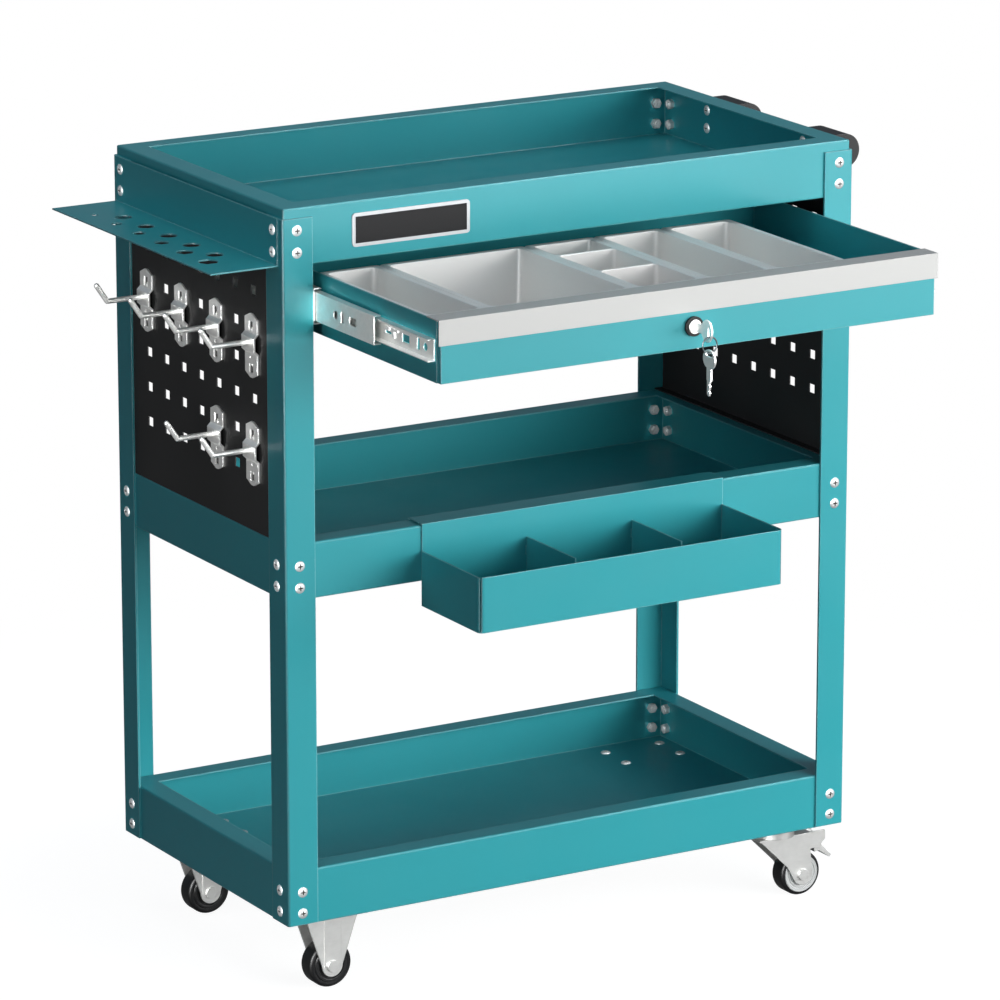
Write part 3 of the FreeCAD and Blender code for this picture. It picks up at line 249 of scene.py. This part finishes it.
# dark enamel field inside a bright border
def badgeFinish(look):
    low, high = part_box("badge_plate")
    middle, half = (low + high) / 2, (high - low) / 2
    plate = Shader("badgeEnamel", look["enamel"], look["roughness"], Specular_IOR_Level=look["specular"])

    def beyond(axis, center, reach):
        offset = plate.make("ShaderNodeMath", {"operation": "ABSOLUTE"}, {0: plate.axis(axis) - center})
        return offset > reach - look["border"]

    outside = beyond("X", middle.x, half.x) + beyond("Z", middle.z, half.z)
    rim = plate.make("ShaderNodeMath", {"operation": "MINIMUM"}, {0: outside, 1: 1.0})
    speck = plate.noise(look["speckScale"], 2.0)
    field = plate.blend(speck, look["dark"], look["light"])
    plate.set("Base Color", plate.blend(rim, field, look["rimTone"]))
    plate.set("Metallic", rim * look["rimMetal"])
    plate.set("Roughness", look["roughness"] + speck * look["speckRough"])
    rounded, _ = plate.edges(look["edgeRadius"])
    plate.bump(speck, look["speckDepth"], rounded)
    return plate.material


finishes["badge"] = badgeFinish(badgeLook)
slotOf = {part["node"]: part["material_slot"] for part in frame["record"]["subparts"]}
finishOf = dict(slotOf, key_ring="ring")
for name in nodes:
    # the casters take the darker zinc copy, painted shade for their lamp-facing place
    if name.startswith(("rigid_fork", "swivel_", "brake_pedal")):
        finishOf[name] = "caster_zinc_shaded"
    elif name.startswith("wheel_"):
        finishOf[name] = "hub"
for name, part in nodes.items():
    part.data.materials.clear()
    part.data.materials.append(finishes[finishOf[name]])
print("stage: finishes made")


def asObject(name, mesh, *materials):
    piece = bpy.data.objects.new(name, mesh)
    bpy.context.scene.collection.objects.link(piece)
    for material in materials:
        mesh.materials.append(material)
    return piece


def smoothed(mesh, crease):
    mesh.shade_smooth()
    mesh.set_sharp_from_angle(angle=math.radians(crease))


def fromBmesh(name, shape, *materials, crease=30):
    mesh = bpy.data.meshes.new(name)
    shape.to_mesh(mesh)
    shape.free()
    smoothed(mesh, crease)
    return asObject(name, mesh, *materials)


def joinInto(shape, other):
    part = bpy.data.meshes.new("joinedPart")
    other.to_mesh(part)
    other.free()
    shape.from_mesh(part)
    bpy.data.meshes.remove(part)


# a closed profile of (radius, level) pairs, turned about an axis through the center
def lathe(profile, center, axis, steps=72):
    shape = bmesh.new()
    turn = Vector((0, 0, 1)).rotation_difference(Vector(axis)).to_matrix()
    rings = []
    for step in range(steps):
        angle = 2 * math.pi * step / steps
        rings.append([shape.verts.new(Vector(center) + turn @ Vector(
            (radius * math.cos(angle), radius * math.sin(angle), level))) for radius, level in profile])
    for step in range(steps):
        here, after = rings[step], rings[(step + 1) % steps]
        for index in range(len(profile)):
            following = (index + 1) % len(profile)
            shape.faces.new((here[index], after[index], after[following], here[following]))
    bmesh.ops.recalc_face_normals(shape, faces=shape.faces)
    return shape


# a rectangle with rounded corners, as one loop of points
def roundedLoop(low, high, radius, level, steps=6):
    corners = ((high[0] - radius, high[1] - radius, 0), (low[0] + radius, high[1] - radius, 90),
               (low[0] + radius, low[1] + radius, 180), (high[0] - radius, low[1] + radius, 270))
    loop = []
    for x, y, start in corners:
        for step in range(steps + 1):
            angle = math.radians(start + 90 * step / steps)
            loop.append(Vector((x + radius * math.cos(angle), y + radius * math.sin(angle), level)))
    return loop


# loops of points joined by quads, open or closed at the ends
def bridged(shape, loops, closeFirst=False, closeLast=False):
    rows = [[shape.verts.new(point) for point in loop] for loop in loops]
    for here, after in zip(rows, rows[1:]):
        for index in range(len(here)):
            following = (index + 1) % len(here)
            shape.faces.new((here[index], here[following], after[following], after[index]))
    if closeFirst:
        shape.faces.new(rows[0])
    if closeLast:
        shape.faces.new(rows[-1])
    return rows


# attaches a finished piece to its body and hides the parts it stands for
def stand(piece, body, slot, *replaced):
    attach(piece, body)
    if replaced:
        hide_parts(*replaced)


bodyOf = {node: body for body, members in frame["record"]["behaviour"]["bodies"].items() for node in members}

# bolts: a domed, cross-recessed head on a plain shank, one for each place, with a dark cross set in the recess
# as painted shade
boltLook = {"Head Radius": 0.0057, "Head Height": 0.0018, "Cross Length": 0.0056, "Cross Width": 0.0015,
            "Cross Depth": 0.0012, "Shank Radius": 0.003, "Shank Length": 0.010}
boltMesh = {"segments": 28, "rings": 14, "shankSides": 16, "keepWidth": 0.04, "sunk": 1.35, "crease": 35}
boltSpots = {"drops": (0.023, 0.046), "fromSide": 0.017, "fromFront": 0.0185, "sheet": 0.0015,
             "plateLong": 0.036, "plateWide": 0.022, "bracketRise": 0.010}


def groupInputs(tree, values):
    tree.interface.new_socket(name="Geometry", in_out="INPUT", socket_type="NodeSocketGeometry")
    tree.interface.new_socket(name="Geometry", in_out="OUTPUT", socket_type="NodeSocketGeometry")
    for name, value in values.items():
        socket = tree.interface.new_socket(name=name, in_out="INPUT", socket_type="NodeSocketFloat")
        socket.default_value = value
    return tree.nodes.new("NodeGroupInput"), tree.nodes.new("NodeGroupOutput")


def addNode(tree, kind, settings=None, **inputs):
    node = tree.nodes.new(kind)
    for name, value in (settings or {}).items():
        setattr(node, name, value)
    for name, value in inputs.items():
        socket = node.inputs[int(name[1:])] if name[0] == "i" and name[1:].isdigit() else node.inputs[name]
        if isinstance(value, bpy.types.NodeSocket):
            tree.links.new(value, socket)
        else:
            socket.default_value = value
    return node


# runs a tree once and keeps what it makes as a plain mesh
def applyTree(piece, tree, values):
    modifier = piece.modifiers.new("repeat", "NODES")
    modifier.node_group = tree
    for item in tree.interface.items_tree:
        if item.in_out == "INPUT" and item.name in values:
            modifier[item.identifier] = values[item.name]
    evaluated = piece.evaluated_get(bpy.context.evaluated_depsgraph_get())
    mesh = bpy.data.meshes.new_from_object(evaluated)
    piece.modifiers.remove(modifier)
    piece.data = mesh
    return piece


def boltTree(material, recessShadeMaterial):
    tree = bpy.data.node_groups.new("crossHeadBolts", "GeometryNodeTree")
    given, result = groupInputs(tree, boltLook)
    size = {name: given.outputs[name] for name in boltLook}

    def scaled(first, factor):
        return addNode(tree, "ShaderNodeMath", {"operation": "MULTIPLY"}, i0=first, i1=factor).outputs[0]

    def vector(x, y, z):
        return addNode(tree, "ShaderNodeCombineXYZ", X=x, Y=y, Z=z).outputs[0]

    def moved(geometry, offset, scale=None):
        node = addNode(tree, "GeometryNodeTransform", Geometry=geometry, Translation=offset)
        if scale:
            tree.links.new(scale, node.inputs["Scale"])
        return node.outputs[0]

    dome = addNode(tree, "GeometryNodeMeshUVSphere", Segments=boltMesh["segments"], Rings=boltMesh["rings"],
                   Radius=1.0).outputs[0]
    wide = size["Head Radius"]
    dome = moved(dome, vector(0.0, 0.0, 0.0), vector(wide, wide, size["Head Height"]))
    tall = scaled(size["Head Height"], 4.0)
    keepWidth = boltMesh["keepWidth"]
    keep = addNode(tree, "GeometryNodeMeshCube", Size=vector(keepWidth, keepWidth, tall)).outputs[0]
    keep = moved(keep, vector(0.0, 0.0, scaled(tall, 0.5)))
    half = addNode(tree, "GeometryNodeMeshBoolean", {"operation": "INTERSECT"})
    tree.links.new(dome, half.inputs["Mesh 2"])
    tree.links.new(keep, half.inputs["Mesh 2"])
    deep = scaled(size["Cross Depth"], 2.0)
    bars = [addNode(tree, "GeometryNodeMeshCube", Size=vector(*pair, deep)).outputs[0] for pair in (
        (size["Cross Length"], size["Cross Width"]), (size["Cross Width"], size["Cross Length"]))]
    head = half.outputs[0]
    for bar in bars:
        cutter = addNode(tree, "GeometryNodeMeshBoolean", {"operation": "DIFFERENCE"})
        tree.links.new(head, cutter.inputs["Mesh 1"])
        tree.links.new(moved(bar, vector(0.0, 0.0, size["Head Height"])), cutter.inputs["Mesh 2"])
        head = cutter.outputs[0]
    shank = addNode(tree, "GeometryNodeMeshCylinder", Vertices=boltMesh["shankSides"],
                    Radius=size["Shank Radius"], Depth=size["Shank Length"]).outputs[0]
    shank = moved(shank, vector(0.0, 0.0, scaled(size["Shank Length"], -0.5)))
    sunk = addNode(tree, "ShaderNodeMath", {"operation": "SUBTRACT"}, i0=size["Head Height"],
                   i1=scaled(size["Cross Depth"], boltMesh["sunk"])).outputs[0]
    # a dark cross sunk in the recess below the head's top: painted shade
    cross = addNode(tree, "GeometryNodeJoinGeometry")
    for bar in bars:
        tree.links.new(moved(bar, vector(0.0, 0.0, sunk)), cross.inputs[0])
    marked = addNode(tree, "GeometryNodeStoreNamedAttribute", {"data_type": "BOOLEAN", "domain": "FACE"},
                     Geometry=cross.outputs[0], Name="recess", Value=True)
    joined = addNode(tree, "GeometryNodeJoinGeometry")
    for piece in (head, shank, marked.outputs[0]):
        tree.links.new(piece, joined.inputs[0])
    facing = addNode(tree, "GeometryNodeInputNamedAttribute", {"data_type": "FLOAT_VECTOR"}, Name="facing")
    turned = addNode(tree, "FunctionNodeAlignRotationToVector", {"axis": "Z"}, Vector=facing.outputs[0])
    placed = addNode(tree, "GeometryNodeInstanceOnPoints", Points=given.outputs[0],
                     Instance=joined.outputs[0], Rotation=turned.outputs[0])
    real = addNode(tree, "GeometryNodeRealizeInstances", Geometry=placed.outputs[0])
    finish = addNode(tree, "GeometryNodeSetMaterial", Geometry=real.outputs[0], Material=material)
    inRecess = addNode(tree, "GeometryNodeInputNamedAttribute", {"data_type": "BOOLEAN"}, Name="recess")
    dark = addNode(tree, "GeometryNodeSetMaterial", Geometry=finish.outputs[0], Selection=inRecess.outputs[0],
                   Material=recessShadeMaterial)
    tree.links.new(dark.outputs[0], result.inputs[0])
    return tree


def boltPlaces():
    b = boltSpots
    places = []
    rackLow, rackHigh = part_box("screwdriver_rack")
    for level in ("bottom_tray", "middle_tray", "top_tray"):
        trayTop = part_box(level)[1].z
        for drop in b["drops"]:
            z = trayTop - drop
            for end in ("front", "rear"):
                for side in ("left", "right"):
                    low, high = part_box(f"post_{end}_{side}")
                    outX, outY = (-1 if side == "left" else 1), (-1 if end == "front" else 1)
                    edgeX = low.x if outX < 0 else high.x
                    edgeY = low.y if outY < 0 else high.y
                    places.append(((edgeX - outX * b["fromSide"], edgeY, z), (0, outY, 0)))
                    onRack = outX < 0 and rackLow.z < z < rackHigh.z  # the rack's flange lies over these posts
                    face = edgeX - b["sheet"] if onRack else edgeX
                    places.append(((face, edgeY - outY * b["fromFront"], z), (outX, 0, 0)))
    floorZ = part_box("bottom_tray")[0].z + b["sheet"]
    for plate in ("rigid_fork_front", "rigid_fork_rear", "swivel_plate_front", "swivel_plate_rear"):
        low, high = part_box(plate)
        middle = (low + high) / 2
        for x in (-b["plateLong"], b["plateLong"]):
            for y in (-b["plateWide"], b["plateWide"]):
                places.append(((middle.x + x, middle.y + y, floorZ), (0, 0, 1)))
    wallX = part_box("top_tray")[1].x - b["sheet"]
    for bracket in ("handle_bracket_front", "handle_bracket_rear"):
        low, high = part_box(bracket)
        middle = (low + high) / 2
        for rise in (-b["bracketRise"], b["bracketRise"]):
            places.append(((wallX, middle.y, middle.z + rise), (-1, 0, 0)))
    return places


def makeBolts():
    places = boltPlaces()
    mesh = bpy.data.meshes.new("frameBolts")
    mesh.from_pydata([place for place, _ in places], [], [])
    facing = mesh.attributes.new("facing", "FLOAT_VECTOR", "POINT")
    for index, (_, direction) in enumerate(places):
        facing.data[index].vector = direction
    tree = boltTree(finishes["bolt_zinc"], finishes["recess"])
    piece = applyTree(asObject("frameBolts", mesh), tree, boltLook)
    smoothed(piece.data, boltMesh["crease"])
    stand(piece, "frame", "bolt_zinc", "frame_bolts")


makeBolts()
print("stage: bolts made")

# wheels: the fixed pair is black all over, the turning pair has a pale disc with pressed rings
wheelLook = {"tread": 0.025, "shoulder": 0.0038, "half": 0.011, "proud": 0.0008, "bore": 0.0041, "boss": 0.0078,
             "bevel": 0.0004, "inset": 0.0006, "dish": 0.0022, "dishFrom": 0.0086, "dishTo": 0.0145,
             "dishLip": (0.0007, 0.0013), "rings": (0.0105, 0.0135, 0.0165), "ringWidth": 0.0009,
             "ringDepth": 0.0007, "step": 0.0005, "discHub": 0.0206, "dishedHub": 0.0180}


# one face of a hub from the bore out to the tyre, and the radius where the tyre starts
def hubFace(turning):
    w = wheelLook
    face, bevel = w["half"] + w["proud"], w["bevel"]
    start = [(w["bore"], face), (w["boss"], face)]
    if not turning:
        rim, floor = w["dishedHub"], face - w["dish"]
        return start + [(w["boss"] + bevel, face - w["inset"]), (w["dishFrom"], floor), (w["dishTo"], floor),
                        (w["dishTo"] + w["dishLip"][0], face - bevel), (w["dishTo"] + w["dishLip"][1], face),
                        (rim + bevel, face), (rim + 2 * bevel, face - 2 * bevel)], rim
    rim, disc = w["discHub"], face - w["step"]
    wide, deep = w["ringWidth"], disc - w["ringDepth"]
    profile = start + [(w["boss"] + bevel, disc)]
    for radius in w["rings"]:
        profile += [(radius - wide, disc), (radius - wide / 2, deep), (radius + wide / 2, deep),
                    (radius + wide, disc)]
    profile += [(rim - 3 * bevel, disc), (rim - bevel, face), (rim + w["inset"] / 2, face - w["inset"])]
    return profile, rim


def makeWheel(node):
    low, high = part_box(node)
    center = (low + high) / 2
    w = wheelLook
    turning = "right" in node
    hub, rim = hubFace(turning)
    arc = [math.radians(15 * step) for step in range(7)]
    edge = w["tread"] - w["shoulder"]
    shoulder = w["half"] - w["shoulder"]
    tyre = [(rim, -w["half"] + w["inset"])]
    tyre += [(edge + w["shoulder"] * math.sin(a), -shoulder - w["shoulder"] * math.cos(a)) for a in arc]
    tyre += [(w["tread"], 0.0)]
    tyre += [(edge + w["shoulder"] * math.cos(a), shoulder + w["shoulder"] * math.sin(a)) for a in arc]
    tyre += [(rim, w["half"] - w["inset"])]
    shape = lathe(tyre, center, (0, 1, 0))
    rubberFaces = len(shape.faces)
    hub = [(radius, -level) for radius, level in hub] + list(reversed(hub))
    joinInto(shape, lathe(hub, center, (0, 1, 0)))
    for index, part in enumerate(shape.faces):
        part.material_index = 0 if index < rubberFaces else 1
    piece = fromBmesh(node + "Wheel", shape, finishes["tyre"], finishes["hub" if turning else "black_hub"])
    stand(piece, bodyOf[node], "wheel", node)


for node in nodes:
    if node.startswith("wheel_"):
        makeWheel(node)
print("stage: wheels made")

# keys: a round bow with a slot for the ring, a shoulder and a toothed blade
keyLook = {"bowCenter": 0.005, "bowLong": 0.0100, "bowWide": 0.0115, "slotLong": 0.0022, "slotWide": 0.0058,
           "shoulder": 0.0270, "shoulderHalf": 0.0044, "tip": 0.0430, "tipBevel": 0.002, "bladeHalf": 0.0034,
           "thick": 0.0020, "edge": 0.0003, "teeth": (0.0010, 0.0022, 0.0006, 0.0018, 0.0026, 0.0012),
           "toothShare": 0.35, "bowSteps": 32, "slotSteps": 24, "slotPower": 0.6}


def keyOutline(inset):
    k = keyLook
    wide, long = k["bowWide"] - inset, k["bowLong"] - inset
    half, blade = k["shoulderHalf"] - inset, k["bladeHalf"] - inset
    mouth = math.asin(half / wide)
    outline = []
    for step in range(k["bowSteps"] + 1):
        angle = mouth + (2 * math.pi - 2 * mouth) * step / k["bowSteps"]
        outline.append((k["bowCenter"] + long * math.cos(angle), wide * math.sin(angle)))
    shoulder, tip = k["shoulder"] - inset, k["tip"] - inset
    outline += [(shoulder, -half), (shoulder, -blade)]
    pitch = (k["tip"] - k["tipBevel"] - k["shoulder"]) / len(k["teeth"])
    for index, depth in enumerate(k["teeth"]):
        place = k["shoulder"] + pitch * (index + k["toothShare"])
        outline += [(place, -blade + depth), (place + pitch * k["toothShare"], -blade + depth)]
    return outline + [(tip, -blade * 0.2), (tip, blade * 0.4), (tip - k["tipBevel"], blade), (shoulder, blade),
                      (shoulder, half)]


def keySlot(inset):
    k = keyLook

    def rounded(level, reach):
        return math.copysign(abs(level) ** k["slotPower"], level) * (reach + inset)

    return [(rounded(math.cos(a), k["slotLong"]), rounded(math.sin(a), k["slotWide"]))
            for a in (2 * math.pi * step / k["slotSteps"] for step in range(k["slotSteps"]))]


def makeKey(node, hanging):
    k = keyLook
    low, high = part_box(node)
    middle = (low + high) / 2
    half = k["thick"] / 2

    def place(point, side):
        along, across = point
        if hanging:
            return Vector((middle.x + side, middle.y + across, high.z - k["bowCenter"] - along))
        return Vector((middle.x + side, low.y + k["bowCenter"] + along, middle.z + across))

    shape = bmesh.new()
    ends = []
    for draw in (keyOutline, keySlot):
        rows = bridged(shape, [[place(point, side) for point in draw(inset)] for side, inset in (
            (-half, k["edge"]), (-half + k["edge"], 0.0), (half - k["edge"], 0.0), (half, k["edge"]))])
        ends.append((rows[0], rows[-1]))
    for side in (0, 1):
        edges = [shape.edges.get((ring[side][index], ring[side][(index + 1) % len(ring[side])]))
                 for ring in ends for index in range(len(ring[side]))]
        bmesh.ops.triangle_fill(shape, edges=edges, use_beauty=True, use_dissolve=False)
    bmesh.ops.recalc_face_normals(shape, faces=shape.faces)
    piece = fromBmesh(node + "Blank", shape, finishes["nickel"])
    stand(piece, bodyOf[node], slotOf[node], node)


makeKey("key", False)
makeKey("spare_key", True)
print("stage: keys made")

# drawer release: a small lever and its rivet inside each inner slide, by the mouth of the middle one
catchLook = {"fromMouth": 0.006, "length": 0.024, "height": 0.0042, "rise": 0.0035, "thick": 0.0012,
             "web": 0.001, "rivet": 0.0026, "rivetThick": 0.0020, "rivetPlace": 0.28, "tail": 0.0075}


def makeCatch(side):
    c = catchLook
    node = f"slide_inner_{side}"
    low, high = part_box(node)
    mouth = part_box(f"slide_middle_{side}")[0].y
    out = -1 if side == "left" else 1
    web = (high.x - c["web"]) if out < 0 else (low.x + c["web"])
    level = (low.z + high.z) / 2 + c["rise"]
    back, long, half = mouth - c["fromMouth"], c["length"], c["height"] / 2
    outline = [(back, half), (back, -half), (back - long * 0.45, -half), (back - long * 0.6, -c["tail"]),
               (back - long * 0.75, -c["tail"]), (back - long * 0.7, -half * 0.6), (back - long, -half * 0.5),
               (back - long, half * 0.7)]
    shape = bmesh.new()
    bridged(shape, [[(web + out * depth, y, level + z) for y, z in outline] for depth in (0.0, c["thick"])],
            closeFirst=True, closeLast=True)
    rivet = [(0.0, 0.0), (c["rivet"], 0.0), (c["rivet"], c["rivetThick"] * 0.7),
             (c["rivet"] * 0.8, c["rivetThick"]), (0.0, c["rivetThick"])]
    joinInto(shape, lathe(rivet, (web, back - long * c["rivetPlace"], level), (out, 0, 0), 24))
    bmesh.ops.remove_doubles(shape, verts=shape.verts, dist=1e-6)
    bmesh.ops.recalc_face_normals(shape, faces=shape.faces)
    piece = fromBmesh(f"slideCatch{side.title()}", shape, finishes["bolt_zinc"])
    stand(piece, bodyOf[node], slotOf[node])


makeCatch("left")
makeCatch("right")
print("stage: slide catches made")

# organiser trays: drafted, round-cornered tubs with a turned-down rim
tubLook = {"wall": 0.0016, "rim": 0.0055, "corner": 0.009, "draft": 0.0025, "lip": 0.0022, "rimCorner": 0.005,
           "lipCorner": 0.004, "roll": 0.0006, "wellCorner": 0.005, "fillet": 0.004, "outerBend": 0.001,
           "innerBend": 0.0012, "crease": 40, "dividers": (0.0875, 0.1685)}


def makeTub(node, dividers):
    low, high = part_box(node)
    t = tubLook
    inset, draft, roll = t["rim"], t["draft"], t["roll"]
    top, base = high.z, low.z + t["wall"]
    bend, soft = t["outerBend"], t["innerBend"]
    deep = draft + t["fillet"]
    rimEdge = inset + t["wall"]

    def loop(offset, radius, level):
        return roundedLoop((low.x + offset, low.y + offset), (high.x - offset, high.y - offset), radius, level)

    def well(near, far, offset, radius, level):
        return roundedLoop((low.x + rimEdge + offset, near + offset), (high.x - rimEdge - offset, far - offset),
                           radius, level)

    shape = bmesh.new()
    bridged(shape, [loop(inset + deep, t["corner"] - t["fillet"], low.z),
                    loop(inset + draft + bend, t["corner"] - bend, low.z + bend),
                    loop(inset + draft, t["corner"], low.z + t["fillet"]),
                    loop(inset, t["corner"], top - t["wall"]),
                    loop(t["wall"], t["lipCorner"], top - t["wall"]),
                    loop(t["wall"], t["lipCorner"], top - t["lip"] - roll),
                    loop(0.0, t["rimCorner"], top - t["lip"] - roll),
                    loop(0.0, t["rimCorner"], top - roll),
                    loop(roll, t["rimCorner"], top)], closeFirst=True)
    if not dividers:
        bridged(shape, [loop(roll, t["rimCorner"], top),
                        loop(rimEdge - roll, t["corner"] - bend, top),
                        loop(rimEdge, t["corner"] - soft, top - roll),
                        loop(rimEdge + draft, t["corner"] - soft, base + t["fillet"]),
                        loop(rimEdge + draft + soft, t["corner"] - 2 * bend, base + soft),
                        loop(rimEdge + deep, t["corner"] - t["fillet"] - bend, base)], closeLast=True)
    else:
        edges = [low.y + rimEdge]
        for place in dividers:
            edges += [low.y + place - t["wall"] / 2, low.y + place + t["wall"] / 2]
        edges.append(high.y - rimEdge)
        wells = []
        for near, far in zip(edges[::2], edges[1::2]):
            wells.append(bridged(shape, [
                well(near, far, 0.0, t["wellCorner"], top),
                well(near, far, roll, t["wellCorner"], top - roll),
                well(near, far, draft, t["wellCorner"], base + t["fillet"]),
                well(near, far, draft + soft, t["wellCorner"] - bend, base + soft),
                well(near, far, deep, t["wellCorner"] - 2 * bend, base)], closeLast=True)[0])
        rings = [[shape.verts.new(point) for point in loop(roll, t["rimCorner"], top)]] + wells
        pairs = [(ring[index], ring[(index + 1) % len(ring)]) for ring in rings for index in range(len(ring))]
        rim = [shape.edges.get(pair) or shape.edges.new(pair) for pair in pairs]
        bmesh.ops.triangle_fill(shape, edges=rim, use_beauty=True, use_dissolve=False)
    bmesh.ops.remove_doubles(shape, verts=shape.verts, dist=1e-6)
    bmesh.ops.recalc_face_normals(shape, faces=shape.faces)
    piece = fromBmesh(node + "Tub", shape, finishes["white_plastic"], crease=t["crease"])
    stand(piece, bodyOf[node], "white_plastic", node)


for number in range(1, 6):
    makeTub(f"organiser_tray_{number}", tubLook["dividers"] if number == 3 else ())
print("stage: organiser trays made")

# stage, light and camera
floorLook = {"size": 24.0, "color": (0.80, 0.80, 0.80), "near": 0.35, "far": 1.30, "shadowTone": 0.72,
             "nearLevel": 1.30, "shadowY": 0.1}
lampLook = {
    "key": {"place": (1.75, -2.95, 0.95), "size": (3.4, 1.8), "power": 150.0},
    "top": {"place": (-0.4, -0.3, 3.6), "size": (2.4, 2.0), "power": 21.0},
    "corner": {"place": (-2.7, -1.55, 1.1), "size": (0.30, 2.2), "power": 9.0},
    "postGlint": {"place": (-2.6, -1.7, 0.8), "size": (0.9, 2.6), "power": 420.0, "glossOnly": True},
    "rimGlint": {"place": (1.45, -0.85, 2.9), "size": (2.2, 1.0), "power": 120.0, "glossOnly": True},
}
lampAim = (0.0, 0.0, 0.45)
worldLook = {"fill": (0.060, 0.094, 0.130), "inGloss": 0.14}  # inGloss: the share of white that gloss mirrors
cameraLook = {"azimuth": -30.43, "elevation": 15.17, "distance": 6.473, "target": (0.03257, 0.1351, 0.45612),
              "lens": 216.52}


# 1 where the white background is seen, inGloss in mirrored rays, 0 for the light it gives
def backdropRays(shader):
    camera, glossy, through = (shader.make("ShaderNodeLightPath", output=kind) for kind in (
        "Is Camera Ray", "Is Glossy Ray", "Is Transmission Ray"))
    return camera + through + glossy * worldLook["inGloss"]


# pale floor that keeps the shadow near the object and turns to plain white farther out
def makeFloor():
    f = floorLook
    half = f["size"] / 2
    mesh = bpy.data.meshes.new("studioFloor")
    corners = [(-half, -half, 0), (half, -half, 0), (half, half, 0), (-half, half, 0)]
    mesh.from_pydata(corners, [], [(0, 1, 2, 3)])
    floor = asObject("studioFloor", mesh)
    pale = Shader("paleFloor", f["color"], 1.0, Specular_IOR_Level=0.0)
    across, along = pale.axis("X"), pale.axis("Y") - f["shadowY"]
    reach = pale.make("ShaderNodeMath", {"operation": "SQRT"}, {0: across * across + along * along})
    away = pale.make("ShaderNodeMapRange", {"interpolation_type": "SMOOTHSTEP"}, {
        "Value": reach, "From Min": f["near"], "From Max": f["far"]})
    seen = backdropRays(pale)
    level = f["nearLevel"] + away * (1 - f["nearLevel"])
    plain = pale.make("ShaderNodeEmission", {}, {"Color": (1, 1, 1, 1), "Strength": seen * level})
    mixed = pale.make("ShaderNodeMixShader", {}, {
        0: f["shadowTone"] + away * (1 - f["shadowTone"]), 1: Value(pale, pale.surface.outputs[0]), 2: plain})
    out = next(n for n in pale.tree.nodes if n.type == "OUTPUT_MATERIAL")
    pale.tree.links.new(mixed.socket, out.inputs["Surface"])
    floor.data.materials.append(pale.material)


def makeWorld():
    world = bpy.data.worlds.new("studio")
    bpy.context.scene.world = world
    world.use_nodes = True
    tree = world.node_tree
    background = tree.nodes["Background"]
    path = tree.nodes.new("ShaderNodeLightPath")
    level = path.outputs["Is Camera Ray"]
    for kind, share in (("Is Glossy Ray", worldLook["inGloss"]), ("Is Transmission Ray", 1.0)):
        more = tree.nodes.new("ShaderNodeMath")
        more.operation = "MULTIPLY_ADD"
        tree.links.new(path.outputs[kind], more.inputs[0])
        more.inputs[1].default_value = share
        tree.links.new(level, more.inputs[2])
        level = more.outputs[0]
    mix = tree.nodes.new("ShaderNodeMix")
    mix.data_type = "RGBA"
    mix.inputs[6].default_value = (*worldLook["fill"], 1)
    mix.inputs[7].default_value = (1, 1, 1, 1)
    tree.links.new(level, mix.inputs[0])
    tree.links.new(mix.outputs[2], background.inputs["Color"])


def makeLamp(name, look, aim):
    lamp = bpy.data.lights.new(name, "AREA")
    lamp.shape = "RECTANGLE"
    lamp.size, lamp.size_y = look["size"]
    lamp.energy = look["power"]
    holder = bpy.data.objects.new(name, lamp)
    bpy.context.scene.collection.objects.link(holder)
    holder.visible_diffuse = not look.get("glossOnly", False)
    holder.location = look["place"]
    holder.rotation_euler = (Vector(aim) - Vector(look["place"])).to_track_quat("-Z", "Y").to_euler()


def makeCamera(look):
    camera = bpy.data.cameras.new("studioCamera")
    camera.lens = look["lens"]
    holder = bpy.data.objects.new("studioCamera", camera)
    bpy.context.scene.collection.objects.link(holder)
    turn, lift = math.radians(look["azimuth"]), math.radians(look["elevation"])
    away = Vector((math.sin(turn) * math.cos(lift), -math.cos(turn) * math.cos(lift), math.sin(lift)))
    holder.location = Vector(look["target"]) + away * look["distance"]
    holder.rotation_euler = (-away).to_track_quat("-Z", "Y").to_euler()
    bpy.context.scene.camera = holder


makeFloor()
makeWorld()
for lampName, look in lampLook.items():
    makeLamp(lampName + "Lamp", look, lampAim)
makeCamera(cameraLook)
bpy.context.scene.view_settings.view_transform = "Standard"
print("stage: studio made")
